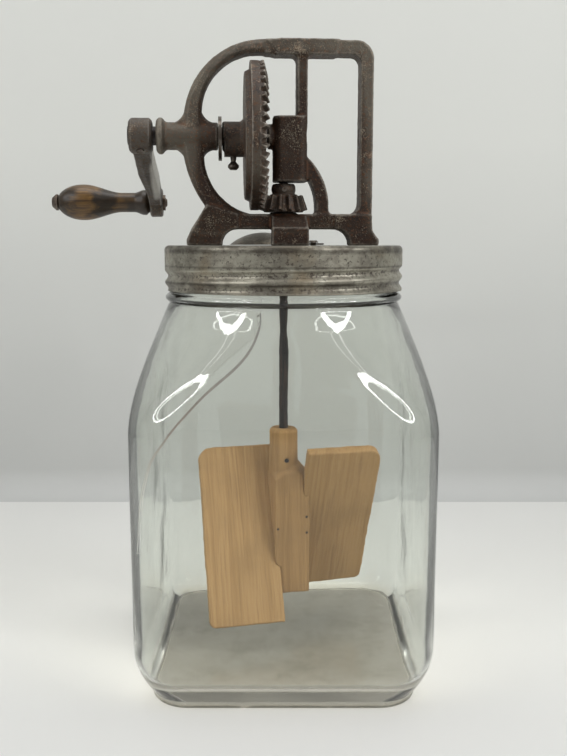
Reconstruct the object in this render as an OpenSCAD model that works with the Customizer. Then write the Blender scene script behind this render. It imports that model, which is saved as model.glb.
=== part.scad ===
// Hand-cranked glass jar butter churn.
// The jar stands on the origin with +Z up and +Y away from the front.
// The lid, its cast frame and its gears are turned a few degrees on the jar, as a screwed lid stops.

/* [Jar] */
// Width of the square jar across its flat sides
jar_w = 152.4; // [140:0.2:170]
// Radius of the jar's upright corners
jar_corner_r = 24; // [16:1:32]
// Thickness of the glass
jar_wall = 4; // [3:0.5:5]
// Height of the straight sides above the table
jar_body_h = 137; // [128:1:170]
// Height of the shoulder from the straight sides to the bead
jar_shoulder_h = 61; // [50:1:75]
// Height of the heel that draws in from the sides to the foot
jar_heel_h = 24; // [20:1:28]
// How far the foot stands in from the sides
jar_heel_in = 9; // [6:0.5:10]
// Thickness of the glass in the middle of the base
jar_floor = 12; // [10:0.5:14]
// Height of the glass bead below the lid
bead_h = 6; // [4:0.5:8]
// How far the bead stands out from the neck
bead_out = 2.8; // [2:0.1:3.5]
// Height of the neck from the bead to the rim
neck_h = 21; // [19:0.5:24]
// Outer radius of the neck at the root of its thread
neck_r = 60.2; // [59:0.1:61.5]
// Thickness of the glass at the mouth
neck_wall = 3.7; // [3:0.1:4.7]

/* [Thread] */
// Rise of the screw thread in one turn
thread_pitch = 6.6; // [6:0.1:7]
// Height of the glass thread
thread_h = 1.4; // [1:0.1:1.6]
// Depth of the rolled thread in the lid's skirt
roll_depth = 1.7; // [1.4:0.1:2]
// Play between the glass and the lid's thread
thread_play = 0.4; // [0.3:0.05:0.6]

/* [Lid] */
// Thickness of the tinplate
tin_t = 0.8; // [0.6:0.1:1]
// Height of the lid's skirt
lid_h = 23.4; // [21:0.2:25]
// Radius of the rounded edge of the lid's top
lid_edge_r = 2.4; // [1.6:0.2:3]
// How far the lid is turned on the jar when it is tight
top_turn = 4; // [0:1:12]
// Thickness of the rubber ring under the lid
gasket_t = 2; // [1.5:0.1:3]

/* [Gears] */
// Module of the bevel gears at their large end
gear_module = 1.68; // [1.55:0.01:1.8]
// Teeth of the large gear
gear_teeth = 45; // [43:1:47]
// Teeth of the pinion
pinion_teeth = 14; // [13:1:15]
// Width of the tooth face
tooth_face = 8; // [6:0.5:9]
// Radius of the crank shaft
shaft_r = 4.76; // [4.2:0.01:5.2]
// Radius of the large gear's hub
gear_hub_r = 7.6; // [7.2:0.1:8.6]
// How far the hub's lobe for its set screw stands out below
gear_lobe = 3; // [2:0.1:4]
// Length of the large gear's hub behind its web
gear_hub_len = 11.5; // [10:0.5:14]

/* [Frame] */
// Gap between the lid and the frame's base bar
bar_z = 8.5; // [8:0.1:10]
// Height of the base bar
bar_h = 7.8; // [6:0.2:10]
// Depth of the frame's bars, front to back
frame_d = 12; // [10:0.5:14]
// Gap between the gear's teeth and the top of the arch
arch_gap = 3.3; // [2.8:0.1:5]
// Radius of the arch's inner edge above the crank's axis
arch_up_in_r = 29.7; // [28.5:0.1:31]
// Radius of the arch's outer edge above the crank's axis
arch_up_out_r = 41.9; // [41:0.1:43]
// Radius of the arch's inner edge below the crank's axis
arch_low_in_r = 30.7; // [30:0.1:32]
// Radius of the arch's outer edge below the crank's axis
arch_low_out_r = 58.7; // [57:0.1:60]
// Distance of the right column from the dasher's axis
column_x = 43.1; // [41:0.1:46]
// Width of the right column
side_w = 6.6; // [5.4:0.1:7.4]
// Width of the middle column
column_w = 5.4; // [4.5:0.1:6.5]
// Distance of the middle column from the dasher's axis
mid_x = 9.4; // [8.8:0.1:10]
// Height of the top bar
top_bar_h = 7; // [6:0.2:8]
// Radius of the long bearing boss
boss_r = 7; // [6.4:0.1:7.6]
// Length of the long bearing boss
boss_len = 26.8; // [24:0.2:30]
// Radius of the collar at the boss's outer end
collar_r = 9.3; // [8.6:0.1:10]
// Width of that collar
collar_w = 5; // [4:0.2:6]

/* [Crank] */
// Distance from the shaft to the handle
crank_r = 73; // [70:1:76]
// Angle of the crank from straight down, towards the back
crank_angle = 65; // [0:1:80]
// Inward offset of the crank's lower end
crank_bend = 2.7; // [2.2:0.1:3.6]
// Length of the wooden grip
grip_len = 53.7; // [46:0.1:60]
// Largest radius of the wooden grip
grip_r = 10.4; // [9:0.1:11.5]
// Radius of the handle's steel rivet
rivet_r = 2.4; // [2:0.1:2.8]

/* [Dasher] */
// Radius of the dasher's rod
rod_r = 2.4; // [2.2:0.05:2.6]
// Width of the square wooden hub
hub_w = 19.5; // [18:0.5:22]
// How far the hub's square part stands off the rod's axis
hub_off = 2.7; // [0:0.1:3]
// Height of the hub's lower end above the table
hub_z = 37; // [32:1:42]
// Height of the hub's square part
hub_square_h = 66; // [60:1:72]
// Height of the hub's round neck above the square part
hub_neck_h = 26; // [22:1:30]
// Radius of the hub's round neck
hub_neck_r = 7.9; // [6.8:0.1:8.4]
// Width of each paddle
paddle_w = 41; // [34:0.5:43]
// Length of the left paddle along its slope
left_len = 98; // [86:0.5:100]
// Length of the right paddle along its slope
right_len = 93; // [86:0.5:100]
// Thickness of each paddle
paddle_t = 5; // [4:0.2:6]
// Lean of each paddle
paddle_lean = 21.9; // [16:0.1:24]
// Depth of the paddles' slots in the hub
slot_depth = 3; // [2.5:0.1:3.5]
// Turn of the paddles at rest
paddle_turn = 14; // [0:1:30]

/* [Vent] */
// Radius of the vent hole in the lid
vent_hole_r = 13; // [10:0.5:15]
// Radius of the domed vent cover
vent_cover_r = 19.5; // [17:0.5:20]
// Height of the domed vent cover
vent_cover_h = 7; // [5:0.2:7.2]
// Distance from the cover's pivot to its middle
vent_reach = 28.3; // [27:0.1:29]

/* [Hidden] */
$fn = 64;

// Clearances
run_clear = 0.06;
seat_clear = 0.05;
pin_clear = 0.02;
lift_clear = 0.3;
eps = 0.01;

// Levels of the jar and the lid
shoulder_z = jar_body_h + jar_shoulder_h;
bead_top_z = shoulder_z + bead_h;
rim_z = bead_top_z + neck_h;
lip_r = 1.2;
mouth_r = neck_r - neck_wall;
foot_h = 3;
foot_edge_r = 1.2;
foot_corner_r = 20;
inner_heel_h = 15;
gasket_z = rim_z + seat_clear;
lid_under_z = gasket_z + gasket_t + seat_clear;
lid_z = lid_under_z + tin_t;
lid_low_z = lid_z - lid_h;
roll_in_r = neck_r + thread_play;
roll_out_r = roll_in_r + roll_depth;
lid_r = roll_out_r + tin_t;
thread_low_z = lid_low_z + 2.2;
thread_len = 11;
thread_drop = 15.9;
thread_mid_z = lid_z - thread_drop;
roll_fade_low = 12.5;
roll_fade_top = 9.5;
jar_points = 64;
lid_points = 60;

// Bevel gears: the apex of both cones is where the crank's axis meets the dasher's
gear_pitch_r = gear_module * gear_teeth / 2;
pinion_pitch_r = gear_module * pinion_teeth / 2;
gear_cone = atan2(gear_teeth, pinion_teeth);
pinion_cone = 90 - gear_cone;
cone_len = sqrt(gear_pitch_r * gear_pitch_r + pinion_pitch_r * pinion_pitch_r);
tooth_top = 0.65 * gear_module;
tooth_root = 0.9 * gear_module;
tooth_sunk = tooth_root + 1;
web_cover = 0.3;
web_over = 0.4;
pinion_under = (tooth_sunk + 0.6) * sin(pinion_cone);
gear_tip_r = gear_pitch_r + tooth_top * cos(gear_cone);
tip_share = 0.11;
root_share = 0.29;

// Levels of the frame above the lid
pinion_boss_h = 0.8;
bar_top = bar_z + bar_h;
pinion_low = bar_top + pinion_boss_h + lift_clear;
axis_h = pinion_low + pinion_under + gear_pitch_r;
pinion_hub_r = 6.4;
pinion_h = 14.6;
pinion_hub_top = pinion_low + pinion_h;
block_low = pinion_hub_top + 1;
arch_up_in = [-12.9, axis_h + gear_tip_r + arch_gap - arch_up_in_r];
arch_up_out = [-9.9, axis_h + 6.1];
arch_low_in = [-10.9, axis_h - 9.9];
arch_low_out = [5.8, axis_h - 0.7];
frame_top = arch_up_out[1] + arch_up_out_r;
top_bar_low = frame_top - top_bar_h;
plaque_left = -4;
plaque_run = 17.6;
plaque_right = mid_x + plaque_run;
plaque_slant = 4.5;
plaque_rise = 0.3;
block_left = -5.6;
block_corner_r = 4;
block_right = mid_x + column_w / 2;
block_d = frame_d + 4;
block_top = axis_h + 10;
block_hub_r = 6.4;
block_hub_len = 2.7;
leg_w = 6.8;
leg_r = 34;
leg_foot_x = 23.4;
leg_arc_h = bar_top + 4;
column_in = column_x - side_w / 2;
column_out = column_x + side_w / 2;
foot_d = frame_d + 2;
foot_arc_r = 8;
left_foot_x = -51;
left_arc_x = -24.5;
right_arc_x = 27;
right_foot_x = column_out + 4;
lug_left = -7.2;
lug_right = 12;
lug_front = 19;
lug_knee = 9;
screw_x = 42;
screw_r = 1.9;
screw_in = 7;
lug_screw_x = (lug_left + lug_right) / 2;
lug_screw_y = -13;
rod_in = 11;
rod_top = block_low + rod_in;
rod_rise = 29;
rod_low_z = hub_z + rod_rise;

// Places along the crank's axis, measured from the gears' apex
gear_web_t = 6.4;
gear_web_front = pinion_pitch_r + tooth_root * sin(gear_cone) + 1;
gear_web_back = gear_web_front + gear_web_t;
gear_hub_front = pinion_pitch_r - 2.6;
gear_hub_back = gear_web_back + gear_hub_len;
washer_t = 1.8;
washer_play = 0.2;
washer_r = 11.2;
washer_hole_r = shaft_r + 1.2;
washer_drop = washer_hole_r - shaft_r - run_clear;
boss_in = gear_hub_back + washer_t + 2 * washer_play;
boss_out = boss_in + boss_len;
collar_out = boss_out + collar_w;
crank_gap = 2.1;
crank_hub_w = 12;
crank_hub_r = 9;
crank_in = collar_out + crank_gap;
crank_out = crank_in + crank_hub_w;
crank_mid = (crank_in + crank_out) / 2;
crank_end_w = 7.4;
crank_end_r = 8.4;
crank_end_mid = crank_mid - crank_bend;
crank_end_in = crank_end_mid - crank_end_w / 2;
crank_end_out = crank_end_mid + crank_end_w / 2;
arm_stations = [[0.06, 0, 9, 6.6], [0.4, 0.12, 8.6, 6], [0.7, 0.88, 7, 5.4], [1, 1, 6.6, 5.4]];
crank_pin_r = 1.9;
burr_t = 1.5;
burr_r = 4.6;
peen_t = 1.1;
peen_r = 3;
grip_in = crank_end_out + lift_clear;
grip_out = grip_in + grip_len;
rivet_head_r = 4.7;
rivet_head_t = 3.4;
set_screw_x = gear_web_back + gear_hub_len * 0.5;
set_screw_r = 1.6;
set_screw_head_r = 2.9;
set_screw_waist_r = 1.3;
set_screw_end_r = 1.7;
set_screw_waist_z = 12.8;
set_screw_head_z = 14.6;
set_screw_end_z = 17;

// Places on the lid
vent_x = -9;
vent_in = 29.1;
vent_y = lid_r - vent_in;
vent_pivot_x = vent_x + vent_reach;
vent_pivot_y = vent_y - 2;
vent_rivet_r = 1.6;
vent_ear_r = 6;
vent_ear_t = 0.9;
vent_tin = 0.7;
screen_t = 0.5;
screen_r = vent_hole_r + 2;
screen_hole_r = 0.9;
screen_step = 3.6;
ferrule_r = 4.2;
ferrule_flange_r = 6.4;
ferrule_flange_t = 0.6;
ferrule_tail = 4;
ferrule_bore_r = rod_r + 0.3;
lug_back = ferrule_flange_r + lift_clear;

// Places on the dasher
hub_square_z = hub_z + hub_square_h;
hub_top_z = hub_square_z + hub_neck_h;
hub_taper_h = 8;
taper_top_r = hub_neck_r - hub_off - 0.1;
paddle_in = hub_w / 2 - slot_depth;
left_rise = 33;
right_rise = 38.8;
left_paddle_z = hub_z + left_rise;
right_paddle_z = hub_z + right_rise;
paddle_top_r = 7;
paddle_low_r = 4;
nail_r = 0.7;
nail_x = hub_w / 2 - slot_depth / 2;
nail_step = 9;
hub_pin_r = 1.2;
hub_pin_z = hub_square_z + 9;
pinion_pin_r = 1.3;
pinion_pin_z = pinion_hub_top - 3;

// Helpers

// Points round a ring, numbered the same way on every ring
function ring_angle(i, n) = 360 * (i + 0.5) / n;

// Angles for the jar, closer together round its corners
function jar_angle(i) =
    let (a = 360 * i / jar_points, q = a - 90 * floor(a / 90))
    90 * floor(a / 90) + 45 + 45 * sign(q - 45) * pow(abs(q - 45) / 45, 1.5);

// Distance from the axis to a rounded square of half width w and corner radius c, at angle a
function square_reach(w, c, a) =
    let (q = abs(a - 90 * round(a / 90)), k = w - c)
    w * tan(q) <= k
        ? w / cos(q)
        : k * (cos(q) + sin(q)) + sqrt(max(0, c * c - k * k * pow(cos(q) - sin(q), 2)));

// Share of the thread's height at a point, 1 on the crest of the helix and 0 midway between turns
function thread_wave(a, z) =
    0.5 + 0.5 * cos(360 * (z - thread_mid_z - thread_pitch * a / 360) / thread_pitch);

// Smooth step from 0 at lo to 1 at hi
function ease(v, lo, hi) =
    let (t = max(0, min(1, (v - lo) / (hi - lo)))) t * t * (3 - 2 * t);

// A closed skin over rings of points: the rings close on themselves, or end in flat caps
module skin(rings, closed_loop = false) {
    n = len(rings[0]);
    m = len(rings);
    last = closed_loop ? m - 1 : m - 2;
    sides = [
        for (j = [0:last], i = [0:n - 1])
            let (k = (i + 1) % n, up = (j + 1) % m)
            each [[j * n + i, up * n + k, j * n + k], [j * n + i, up * n + i, up * n + k]]
    ];
    caps = closed_loop ? [] : [
        [for (i = [0:n - 1]) i],
        [for (i = [n - 1:-1:0]) (m - 1) * n + i]
    ];
    polyhedron([for (r = rings) each r], concat(sides, caps), convexity = 10);
}

module on_lid() {
    translate([0, 0, lid_z])
        rotate([0, 0, top_turn])
            children();
}

module on_axis() {
    on_lid()
        translate([0, 0, axis_h])
            children();
}

// A bar from u1 to u2 towards the crank, along the crank's axis
module axle(u1, u2, r) {
    translate([-u2, 0, 0])
        rotate([0, 90, 0])
            cylinder(h = u2 - u1, r = r);
}

// A turned shape on the crank's axis, drawn as radius against distance from the apex
module turned() {
    rotate([0, -90, 0])
        rotate_extrude()
            children();
}

// A flat shape in the frame's plane, given a depth from front to back
module plate(depth) {
    rotate([90, 0, 0])
        linear_extrude(depth, center = true)
            children();
}

// A concave corner filled with radius r: sx and sy say which way the corner opens
module corner_fill(x, y, sx, sy, r) {
    translate([x, y])
        difference() {
            translate([sx > 0 ? -eps : -r, sy > 0 ? -eps : -r])
                square(r + eps);
            translate([sx * r, sy * r])
                circle(r);
        }
}

// Jar

// A ring of the jar at height z: half width w, corner radius c
function jar_ring(w, c, z) = [
    for (i = [0:jar_points - 1])
        let (a = jar_angle(i), r = square_reach(w, c, a))
        [r * cos(a), r * sin(a), z]
];

// Ring of the threaded neck at height z
function neck_ring(z) = [
    for (i = [0:jar_points - 1])
        let (
            a = jar_angle(i),
            ends = ease(z, thread_low_z, thread_low_z + 2)
                * (1 - ease(z, thread_low_z + thread_len - 2, thread_low_z + thread_len)),
            r = neck_r + thread_h * ends * thread_wave(a, z)
        )
        [r * cos(a), r * sin(a), z]
];

// Half width and corner radius of the outside of the shoulder, t from 0 at the body to 1 at the neck
function shoulder_w(t) = jar_w / 2 + (neck_r + 1 - jar_w / 2) * (0.15 * t + 0.85 * t * t);
function shoulder_c(t) =
    let (w = shoulder_w(t)) jar_corner_r + (w - jar_corner_r) * ease(t, 0, 1);

function shoulder_rings(inset, steps) = [
    for (k = [0:steps])
        let (t = k / steps, w = shoulder_w(t) - inset, c = min(w, shoulder_c(t) - inset * (1 - t)))
        jar_ring(w, c, jar_body_h + t * jar_shoulder_h)
];

// The outside of the heel from the foot up to the sides
function heel_rings(steps) = [
    for (k = [0:steps])
        let (t = 1 - k / steps, draw = 0.5 * t + 0.5 * t * t)
        jar_ring(
            jar_w / 2 - jar_heel_in * draw,
            jar_corner_r + (foot_corner_r - jar_corner_r) * draw,
            foot_h + jar_heel_h * (1 - t)
        )
];

// The inside of the heel from the floor up to the sides
function inner_heel_rings(z0, steps) = [
    for (k = [0:steps])
        let (a = 90 * k / steps, draw = jar_wall + jar_heel_in * (1 - sin(a)))
        jar_ring(jar_w / 2 - draw, jar_corner_r - 4 - 8 * (1 - sin(a)), z0 + inner_heel_h * (1 - cos(a)))
];

function bead_rings(steps) = [
    for (k = [1:steps])
        let (a = 180 * k / steps, r = neck_r + bead_out * max(0.25, sin(a)))
        jar_ring(r, r, shoulder_z + bead_h * k / steps)
];

function reversed(list) = [for (i = [len(list) - 1:-1:0]) list[i]];

module glass_jar() {
    push_up = 1.5;
    foot_w = jar_w / 2 - jar_heel_in;
    floor_edge = jar_floor - push_up;
    thread_steps = 10;
    middle_r = 24;
    bead_foot = 0.25;
    outer = concat(
        [
            jar_ring(middle_r, middle_r, 0),
            jar_ring(foot_w - foot_edge_r, foot_corner_r - foot_edge_r, 0),
            jar_ring(foot_w, foot_corner_r, foot_edge_r)
        ],
        heel_rings(5),
        shoulder_rings(0, 8),
        bead_rings(5),
        [jar_ring(neck_r, neck_r, bead_top_z + bead_foot)],
        [for (k = [0:thread_steps]) neck_ring(thread_low_z + thread_len * k / thread_steps)],
        [
            jar_ring(neck_r, neck_r, rim_z - lip_r),
            jar_ring(neck_r - lip_r, neck_r - lip_r, rim_z)
        ]
    );
    neck_steps = [
        jar_ring(mouth_r + lip_r, mouth_r + lip_r, rim_z),
        jar_ring(mouth_r, mouth_r, rim_z - lip_r),
        jar_ring(mouth_r, mouth_r, shoulder_z)
    ];
    inner = concat(
        neck_steps,
        reversed([for (k = [0:6]) shoulder_rings(jar_wall, 7)[k]]),
        reversed(inner_heel_rings(floor_edge, 5)),
        [jar_ring(middle_r, middle_r, jar_floor)]
    );
    color([0.80, 0.86, 0.84, 0.4])
        skin(concat(outer, inner));
}

module rim_gasket() {
    color("dimgray")
        translate([0, 0, gasket_z])
            difference() {
                cylinder(h = gasket_t, r = neck_r);
                translate([0, 0, -1])
                    cylinder(h = gasket_t + 2, r = mouth_r);
            }
}

// Lid

// Outer radius of the skirt at angle a and height z: rolled thread below, plain band above
function skirt_r(a, z) =
    let (
        rise = thread_pitch * a / 720,
        plain = ease(z, lid_z - roll_fade_low + rise, lid_z - roll_fade_top + rise),
        wave = thread_wave(a, z)
    )
    lid_r - roll_depth * (1 - plain) * (1 - wave);

function skirt_ring(z, inset) = [
    for (i = [0:lid_points - 1])
        let (a = ring_angle(i, lid_points) - 180, r = skirt_r(a, z) - inset)
        [r * cos(a), r * sin(a), z]
];

function round_ring(r, z) = [
    for (i = [0:lid_points - 1])
        let (a = ring_angle(i, lid_points) - 180)
        [r * cos(a), r * sin(a), z]
];

module lid_cap() {
    roll_steps = 13;
    roll_top_z = lid_z - 8;
    flange_r = lid_r - 6;
    panel_drop = 0.25;
    rolled = [for (k = [0:roll_steps]) lid_low_z + (roll_top_z - lid_low_z) * k / roll_steps];
    inner_edge_r = lid_edge_r - tin_t;
    edge = [
        for (k = [0:3])
            let (a = 30 * k)
            round_ring(lid_r - lid_edge_r * (1 - cos(a)), lid_z - lid_edge_r * (1 - sin(a)))
    ];
    inner_edge = [
        for (k = [3:-1:0])
            let (a = 30 * k)
            round_ring(lid_r - lid_edge_r + inner_edge_r * cos(a), lid_z - lid_edge_r + inner_edge_r * sin(a))
    ];
    rings = concat(
        [for (z = rolled) skirt_ring(z, 0)],
        edge,
        [round_ring(flange_r, lid_z), round_ring(flange_r, lid_under_z)],
        inner_edge,
        reversed([for (z = rolled) skirt_ring(z, tin_t)])
    );
    color("silver")
        difference() {
            union() {
                skin(rings, closed_loop = true);
                translate([0, 0, lid_under_z + panel_drop])
                    cylinder(h = tin_t - 2 * panel_drop, r = flange_r + 1);
            }
            lid_holes();
        }
}

module lid_holes() {
    on_lid() {
        translate([0, 0, -5]) {
            cylinder(h = 10, r = ferrule_r + pin_clear);
            translate([vent_x, vent_y, 0])
                cylinder(h = 10, r = vent_hole_r);
            translate([vent_pivot_x, vent_pivot_y, 0])
                cylinder(h = 10, r = vent_rivet_r + pin_clear);
            for (p = screw_places())
                translate([p[0], p[1], 0])
                    cylinder(h = 10, r = screw_r + pin_clear);
        }
    }
}

function screw_places() = [[-screw_x, 0], [screw_x, 0], [lug_screw_x, lug_screw_y]];

module shaft_ferrule() {
    color("gray")
        on_lid()
            difference() {
                union() {
                    cylinder(h = ferrule_flange_t, r = ferrule_flange_r);
                    translate([0, 0, -tin_t - ferrule_tail])
                        cylinder(h = tin_t + ferrule_tail, r = ferrule_r);
                }
                translate([0, 0, -tin_t - ferrule_tail - 1])
                    cylinder(h = tin_t + ferrule_tail + ferrule_flange_t + 2, r = ferrule_bore_r);
            }
}

module vent_screen() {
    rows = floor((screen_r - 1.6) / (screen_step * sin(60)));
    color("darkgray")
        on_lid()
            translate([vent_x, vent_y, -tin_t - screen_t])
                difference() {
                    cylinder(h = screen_t, r = screen_r);
                    for (j = [-rows:rows], i = [-rows:rows]) {
                        px = screen_step * (i + 0.5 * abs(j % 2));
                        py = screen_step * sin(60) * j;
                        if (norm([px, py]) < vent_hole_r - 1.4)
                            translate([px, py, -1])
                                cylinder(h = screen_t + 2, r = screen_hole_r);
                    }
                }
}

module vent_rivet() {
    head_r = 3;
    color("gray")
        on_lid()
            translate([vent_pivot_x, vent_pivot_y, 0]) {
                translate([0, 0, -tin_t])
                    cylinder(h = tin_t + 2 * lift_clear + vent_ear_t, r = vent_rivet_r);
                translate([0, 0, 2 * lift_clear + vent_ear_t])
                    cylinder(h = 1.3, r1 = head_r, r2 = head_r - 1);
                translate([0, 0, -tin_t - 1])
                    cylinder(h = 1, r = head_r - 0.4);
            }
}

module vent_cover() {
    dome_r = (vent_cover_r * vent_cover_r + vent_cover_h * vent_cover_h) / (2 * vent_cover_h);
    ear_len = norm([vent_reach, vent_pivot_y - vent_y]);
    color("darkgray")
        on_lid()
            translate([vent_pivot_x, vent_pivot_y, lift_clear])
                rotate([0, 0, atan2(vent_y - vent_pivot_y, -vent_reach)])
                    difference() {
                        union() {
                            intersection() {
                                translate([ear_len, 0, vent_cover_h - dome_r])
                                    sphere(dome_r);
                                translate([ear_len - vent_cover_r - 1, -vent_cover_r - 1, 0])
                                    cube([2 * vent_cover_r + 2, 2 * vent_cover_r + 2, vent_cover_h + 1]);
                            }
                            linear_extrude(vent_ear_t) {
                                circle(vent_ear_r);
                                translate([0, -vent_ear_r])
                                    square([ear_len - vent_cover_r + 4, 2 * vent_ear_r]);
                            }
                        }
                        translate([ear_len, 0, vent_cover_h - dome_r])
                            sphere(dome_r - vent_tin);
                        translate([0, 0, -1])
                            cylinder(h = vent_ear_t + 2, r = vent_rivet_r + run_clear);
                    }
}

// Cast frame

// Half of the arch above or below the crank's axis: a band between two circles, inset by a margin
module arch_half(in_c, in_r, out_c, out_r, margin, low, high) {
    intersection() {
        difference() {
            translate(out_c)
                circle(out_r - margin);
            translate(in_c)
                circle(in_r + margin);
        }
        translate([-2 * out_r, low])
            square([2 * out_r + plaque_left, high - low]);
    }
}

module arch_outline(margin) {
    arch_half(arch_up_in, arch_up_in_r, arch_up_out, arch_up_out_r, margin, axis_h, frame_top + 1);
    arch_half(arch_low_in, arch_low_in_r, arch_low_out, arch_low_out_r, margin, bar_z, axis_h);
}

// Cast fillets between the bearing boss and the arch's outer edge
module boss_fillets() {
    out_fill = 8;
    out_x = arch_up_out[0] - arch_up_out_r + 0.6;
    for (s = [-1, 1])
        corner_fill(out_x, axis_h + s * (boss_r - 1), -1, s, out_fill);
}

// Flare of the bearing boss into the arch's inner edge, nearly as deep as the arch
module boss_flare() {
    flare_r = 8;
    flare_sink = 0.3;
    flare_top = boss_r + flare_r;
    arch_u = arch_up_in_r - arch_up_in[0] + flare_sink;
    intersection() {
        translate([0, 0, axis_h])
            turned()
                corner_fill(boss_r - flare_sink, arch_u, 1, -1, flare_r);
        plate(frame_d - 3)
            translate([-arch_u - flare_r, axis_h - flare_top])
                square([3 * flare_r, 2 * flare_top]);
    }
}

module feet_outline() {
    knee_in = 10.4;
    knee_rise = 5;
    shin_in = 6.2;
    shin_drop = 2;
    ankle_in = 2.6;
    toe_out = 0.3;
    toe_drop = 5.8;
    difference() {
        polygon([
            [left_foot_x, 0], [left_arc_x, 0], [left_arc_x, bar_top],
            [left_foot_x + knee_in, bar_top + knee_rise], [left_foot_x + shin_in, bar_top - shin_drop],
            [left_foot_x + ankle_in, bar_z + 0.5], [left_foot_x - toe_out, bar_z - toe_drop]
        ]);
        translate([left_arc_x, bar_z - foot_arc_r])
            circle(foot_arc_r);
    }
    difference() {
        polygon([
            [right_arc_x, 0], [right_foot_x - toe_out, 0], [right_foot_x, bar_z - toe_drop],
            [column_out + 0.4, bar_z - 1], [column_out, bar_top], [right_arc_x, bar_top]
        ]);
        translate([right_arc_x, bar_z - foot_arc_r])
            circle(foot_arc_r);
    }
}

module bars_outline() {
    fill = 3.5;
    corner_r = 9;
    // Base bar
    translate([left_arc_x - 6, bar_z])
        square([column_out - left_arc_x + 6, bar_h]);
    // Right column and top bar, with a rounded outer corner
    difference() {
        union() {
            translate([column_in, bar_z])
                square([side_w, frame_top - bar_z]);
            translate([arch_up_out[0], top_bar_low])
                square([column_out - arch_up_out[0], top_bar_h]);
        }
        corner_fill(column_out, frame_top, -1, -1, corner_r);
    }
    // Middle column
    translate([mid_x - column_w / 2, block_top - 4])
        square([column_w, top_bar_low - block_top + 5]);
    corner_fill(column_in, top_bar_low, -1, -1, fill + 1);
    corner_fill(column_in, bar_top, -1, 1, fill + 2);
    corner_fill(mid_x - column_w / 2, top_bar_low, -1, -1, fill);
    corner_fill(mid_x + column_w / 2, top_bar_low, 1, -1, fill);
}

module leg_outline() {
    intersection() {
        translate([leg_foot_x - leg_r, leg_arc_h])
            difference() {
                circle(leg_r);
                circle(leg_r - leg_w);
            }
        translate([block_right - 4, leg_arc_h])
            square([leg_foot_x - block_right + 5, leg_r]);
    }
    translate([leg_foot_x - leg_w, bar_z])
        square([leg_w, leg_arc_h - bar_z + eps]);
    corner_fill(leg_foot_x, bar_top, 1, 1, 2.5);
    corner_fill(leg_foot_x - leg_w, bar_top, -1, 1, 1.5);
}

module plaque_outline() {
    low = top_bar_low - 0.4;
    high = frame_top + plaque_rise;
    polygon([
        [plaque_left - plaque_slant, high - 1], [plaque_left, low], [plaque_right, low],
        [plaque_right + plaque_slant / 3, high], [plaque_left + plaque_slant / 2, high]
    ]);
}

// Plan of the block, with rounded corners
module block_plan() {
    r = block_corner_r;
    translate([block_left + r, -block_d / 2])
        square([block_right - block_left - 2 * r, block_d]);
    translate([block_left, r - block_d / 2])
        square([block_right - block_left, block_d - 2 * r]);
    for (x = [block_left + r, block_right - r], y = [r - block_d / 2, block_d / 2 - r])
        translate([x, y])
            circle(r);
}

module front_lug() {
    intersection() {
        translate([lug_left, 0, 0])
            rotate([90, 0, 90])
                linear_extrude(lug_right - lug_left)
                    polygon([
                        [-lug_back, 0], [-lug_front, 0], [-lug_front, lug_knee],
                        [-frame_d / 2 - 2, bar_top - 1], [2 - frame_d / 2, bar_top - 1],
                        [2 - frame_d / 2, bar_z + 0.5], [-lug_back, bar_z - 1.5]
                    ]);
        rotate([90, 0, 0])
            linear_extrude(3 * lug_front, center = true)
                polygon([
                    [lug_left, 0], [lug_right, 0], [lug_right - 0.5, bar_top], [lug_left + 0.5, bar_top]
                ]);
    }
}

module gear_frame() {
    rim_margin = 1.6;
    color([0.22, 0.17, 0.14])
        on_lid()
            difference() {
                union() {
                    plate(frame_d - 2) arch_outline(0);
                    plate(frame_d) arch_outline(rim_margin);
                    plate(frame_d - 3) boss_fillets();
                    boss_flare();
                    plate(frame_d) bars_outline();
                    plate(frame_d - 1) leg_outline();
                    plate(foot_d) feet_outline();
                    plate(frame_d + 1.6) plaque_outline();
                    front_lug();
                    // Block that carries the ends of the shaft and the rod
                    translate([0, 0, block_low])
                        linear_extrude(block_top - block_low)
                            block_plan();
                    translate([0, 0, axis_h])
                        axle(-block_left - eps, -block_left + block_hub_len, block_hub_r);
                    // Seat of the pinion on the base bar
                    translate([0, 0, bar_z])
                        cylinder(h = bar_h + pinion_boss_h, r = frame_d / 2 + 1);
                    // Long bearing boss and its collar
                    translate([0, 0, axis_h]) {
                        axle(boss_in, boss_out + eps, boss_r);
                        turned()
                            polygon([
                                [0, boss_out], [boss_r, boss_out], [collar_r, boss_out + 2],
                                [collar_r, collar_out - 1.4], [collar_r - 1.4, collar_out], [0, collar_out]
                            ]);
                    }
                }
                translate([0, 0, axis_h])
                    axle(-block_right - 1, collar_out + 1, shaft_r + run_clear);
                translate([0, 0, -1])
                    cylinder(h = rod_top + lift_clear + 1, r = rod_r + run_clear);
                for (p = screw_places())
                    translate([p[0], p[1], -1])
                        cylinder(h = screw_in + lift_clear + 1, r = screw_r + pin_clear);
            }
}

module frame_screws() {
    head_r = 4;
    head_t = 1.8;
    color("gray")
        on_lid()
            for (p = screw_places())
                translate([p[0], p[1], 0]) {
                    translate([0, 0, -tin_t - eps])
                        cylinder(h = screw_in + tin_t + eps, r = screw_r);
                    translate([0, 0, -tin_t - head_t])
                        cylinder(h = head_t, r1 = head_r - 1, r2 = head_r);
                }
}

// Crank and gears

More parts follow.
